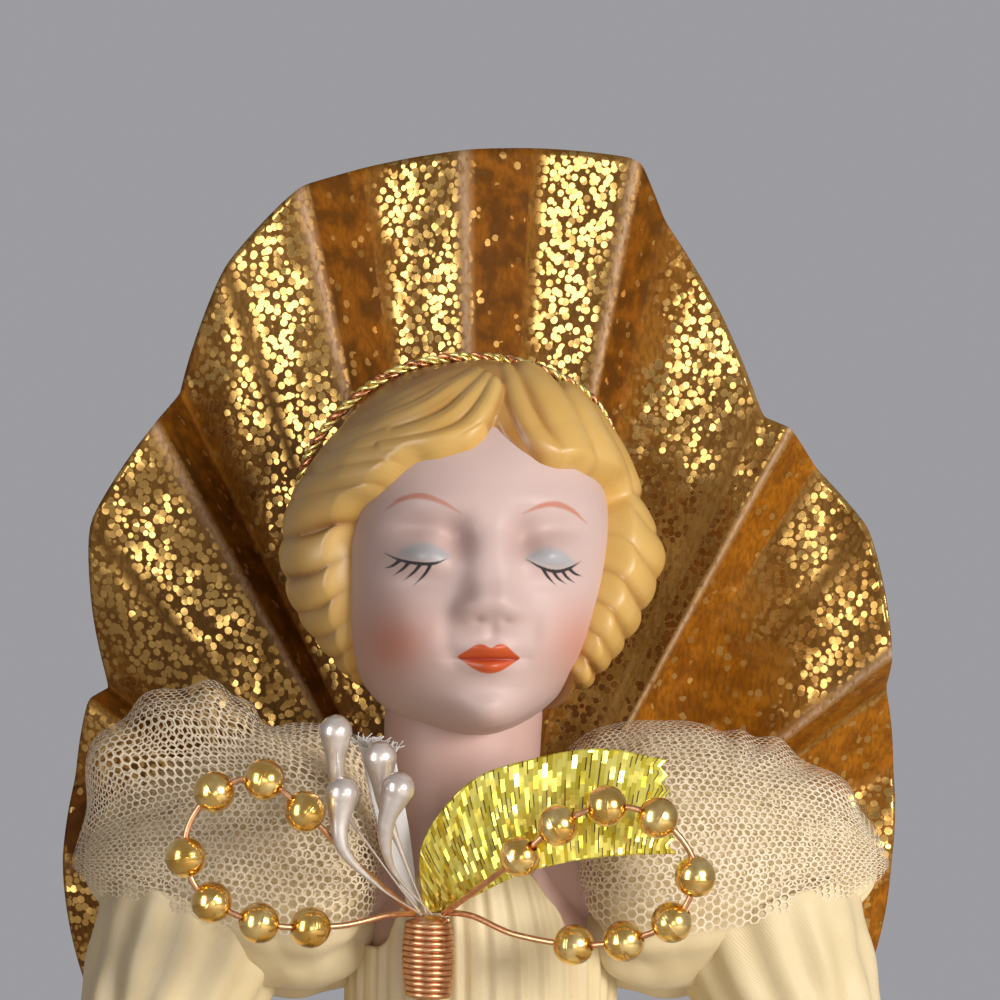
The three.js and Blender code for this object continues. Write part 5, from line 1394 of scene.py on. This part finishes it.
# Painted shade: the pearls darken towards their outline, by how far the surface turns from the view
facing_edge_shade = place.node("LayerWeight", None, {"Blend": 0.4}, "Facing")
cloud = noise(place, 700.0, 3.0)
nacre = between(step(cloud, 0.35, 0.7), NACRE_DEEP, NACRE_LIGHT)
between(facing_edge_shade * 0.8, nacre, NACRE_EDGE_SHADE).feed(pearl_shader, "Base Color")
(0.24 + cloud * 0.16).feed(pearl_shader, "Roughness")
for number, stops in enumerate(STAMENS, 1):
    run = smooth_run(stops, STAMEN_STEPS) + BINDING
    from_tip = np.linspace(lengths_along(run)[-1], 0, STAMEN_STEPS)
    radius = eased(from_tip, STAMEN_STATIONS, STAMEN_RADII)
    stamen = add_piece(f"pearl_drop_stamen_{number}", *capped(round_rod(run, radius, STAMEN_SIDES)), pearl)
    settle(stamen, "figure", f"pearl_stamen_{number}")

# Gold ribbon. A loop end of lurex ribbon, gathered in the binding and cut with pinking shears. It stands
# out to the figure's left, behind the beads.
RIBBON_UPPER = [(-0.4, 1.2, 0.3), (-0.5, -1.4, 7), (4.2, -3.8, 13.2), (9.5, -4.6, 15.2), (16.4, -5, 16.3),
                (22.8, -4.4, 15.2)]
RIBBON_LOWER = [(1.4, 1.2, 0.3), (4.6, -2.4, 2.2), (8.6, -5, 4.3), (13, -6.2, 5.6), (18, -6.4, 6.3),
                (23.6, -5.6, 6.4)]
RIBBON_ROWS = 160
RIBBON_COLUMNS = 49
PINKING_TEETH = 6
PINKING_DEPTH = 0.8


def strip_surface(upper, lower, along, across):
    """Straight lines between two edges, evenly along both."""
    first, second = smooth_run(upper, along), smooth_run(lower, along)
    share = np.linspace(0, 1, across)[None, :, None]
    return first[:, None] * (1 - share) + second[:, None] * share + BINDING


ribbon_grid = strip_surface(RIBBON_UPPER, RIBBON_LOWER, RIBBON_ROWS, RIBBON_COLUMNS)
ribbon_share = np.linspace(0, 1, RIBBON_ROWS)[:, None]
teeth = np.abs((np.linspace(0, PINKING_TEETH, RIBBON_COLUMNS) + 0.5) % 1 - 0.5) * 2
zigzag = PINKING_DEPTH * teeth * ribbon_share ** 30
ribbon_ahead = unit(np.gradient(ribbon_grid, axis=0)[-1:].mean(1, keepdims=True))
ribbon_grid = ribbon_grid - ribbon_ahead * zigzag[..., None]
arch = np.sin(np.linspace(0, np.pi, RIBBON_COLUMNS))
ripple = (0.5 * np.sin(ribbon_share * 14) - 0.9) * arch * ribbon_share
ribbon_grid[..., 1] += ripple + 0.2 * crumple(ribbon_grid, 5, 41) * ribbon_share
ribbon = cloth_sheet("gold_lurex_ribbon", ribbon_grid, lurex, 9, 33)
thicken(ribbon, 0.25, 0)
settle(ribbon, "figure", "gold_ribbon")

# White ribbon tab. The end of a white satin ribbon, held in the binding behind the stamens and frayed at
# its cut.
TAB_LEFT = [(-1.7, 1.6, 0.3), (-4.6, 0.8, 8), (-6.6, -0.6, 16.5)]
TAB_RIGHT = [(-0.9, 1.9, 0.3), (-1.8, 0.9, 8), (-3.2, -0.6, 15.6)]
TAB_ROWS = 70
TAB_COLUMNS = 21
FRAY_COUNT = 110
FRAY_RADIUS = 0.045
FRAY_LENGTH = 1.6
WHITE_DEEP = (0.70, 0.69, 0.68, 1)
WHITE_LIGHT = (0.86, 0.85, 0.84, 1)
white_satin = satin_finish("white ribbon satin", WHITE_DEEP, WHITE_LIGHT)
tab_grid = strip_surface(TAB_LEFT, TAB_RIGHT, TAB_ROWS, TAB_COLUMNS)
tab_grid[..., 1] += 0.12 * crumple(tab_grid, 4, 51)
chance = np.random.default_rng(8)
fray_root = tab_grid[-1, chance.integers(0, TAB_COLUMNS, FRAY_COUNT)]
fray_lean = np.stack([chance.normal(0, 0.4, FRAY_COUNT), chance.normal(-0.3, 0.4, FRAY_COUNT),
                      chance.uniform(0.2, 0.8, FRAY_COUNT)], -1)
fray_curl = np.stack([chance.normal(0, 0.4, FRAY_COUNT), chance.normal(0, 0.4, FRAY_COUNT),
                      np.zeros(FRAY_COUNT)], -1)
fray_share = np.linspace(-0.2, 1, 6)[:, None, None]
fray_runs = fray_root + fray_share * fray_lean * FRAY_LENGTH + fray_share ** 2 * fray_curl
fray = [capped(round_rod(run, FRAY_RADIUS, 4, (0.3, 0.9, 0.1))) for run in np.moveaxis(fray_runs, 1, 0)]
fray_piece = add_piece("white_tab_fray", *joined(*fray), white_satin)
tab = cloth_sheet("white_satin_tab", tab_grid, white_satin, 3.6, 17, swap=-1)
thicken(tab, 0.25, 0)
for piece in (tab, fray_piece):
    settle(piece, "figure", "white_ribbon_tab")
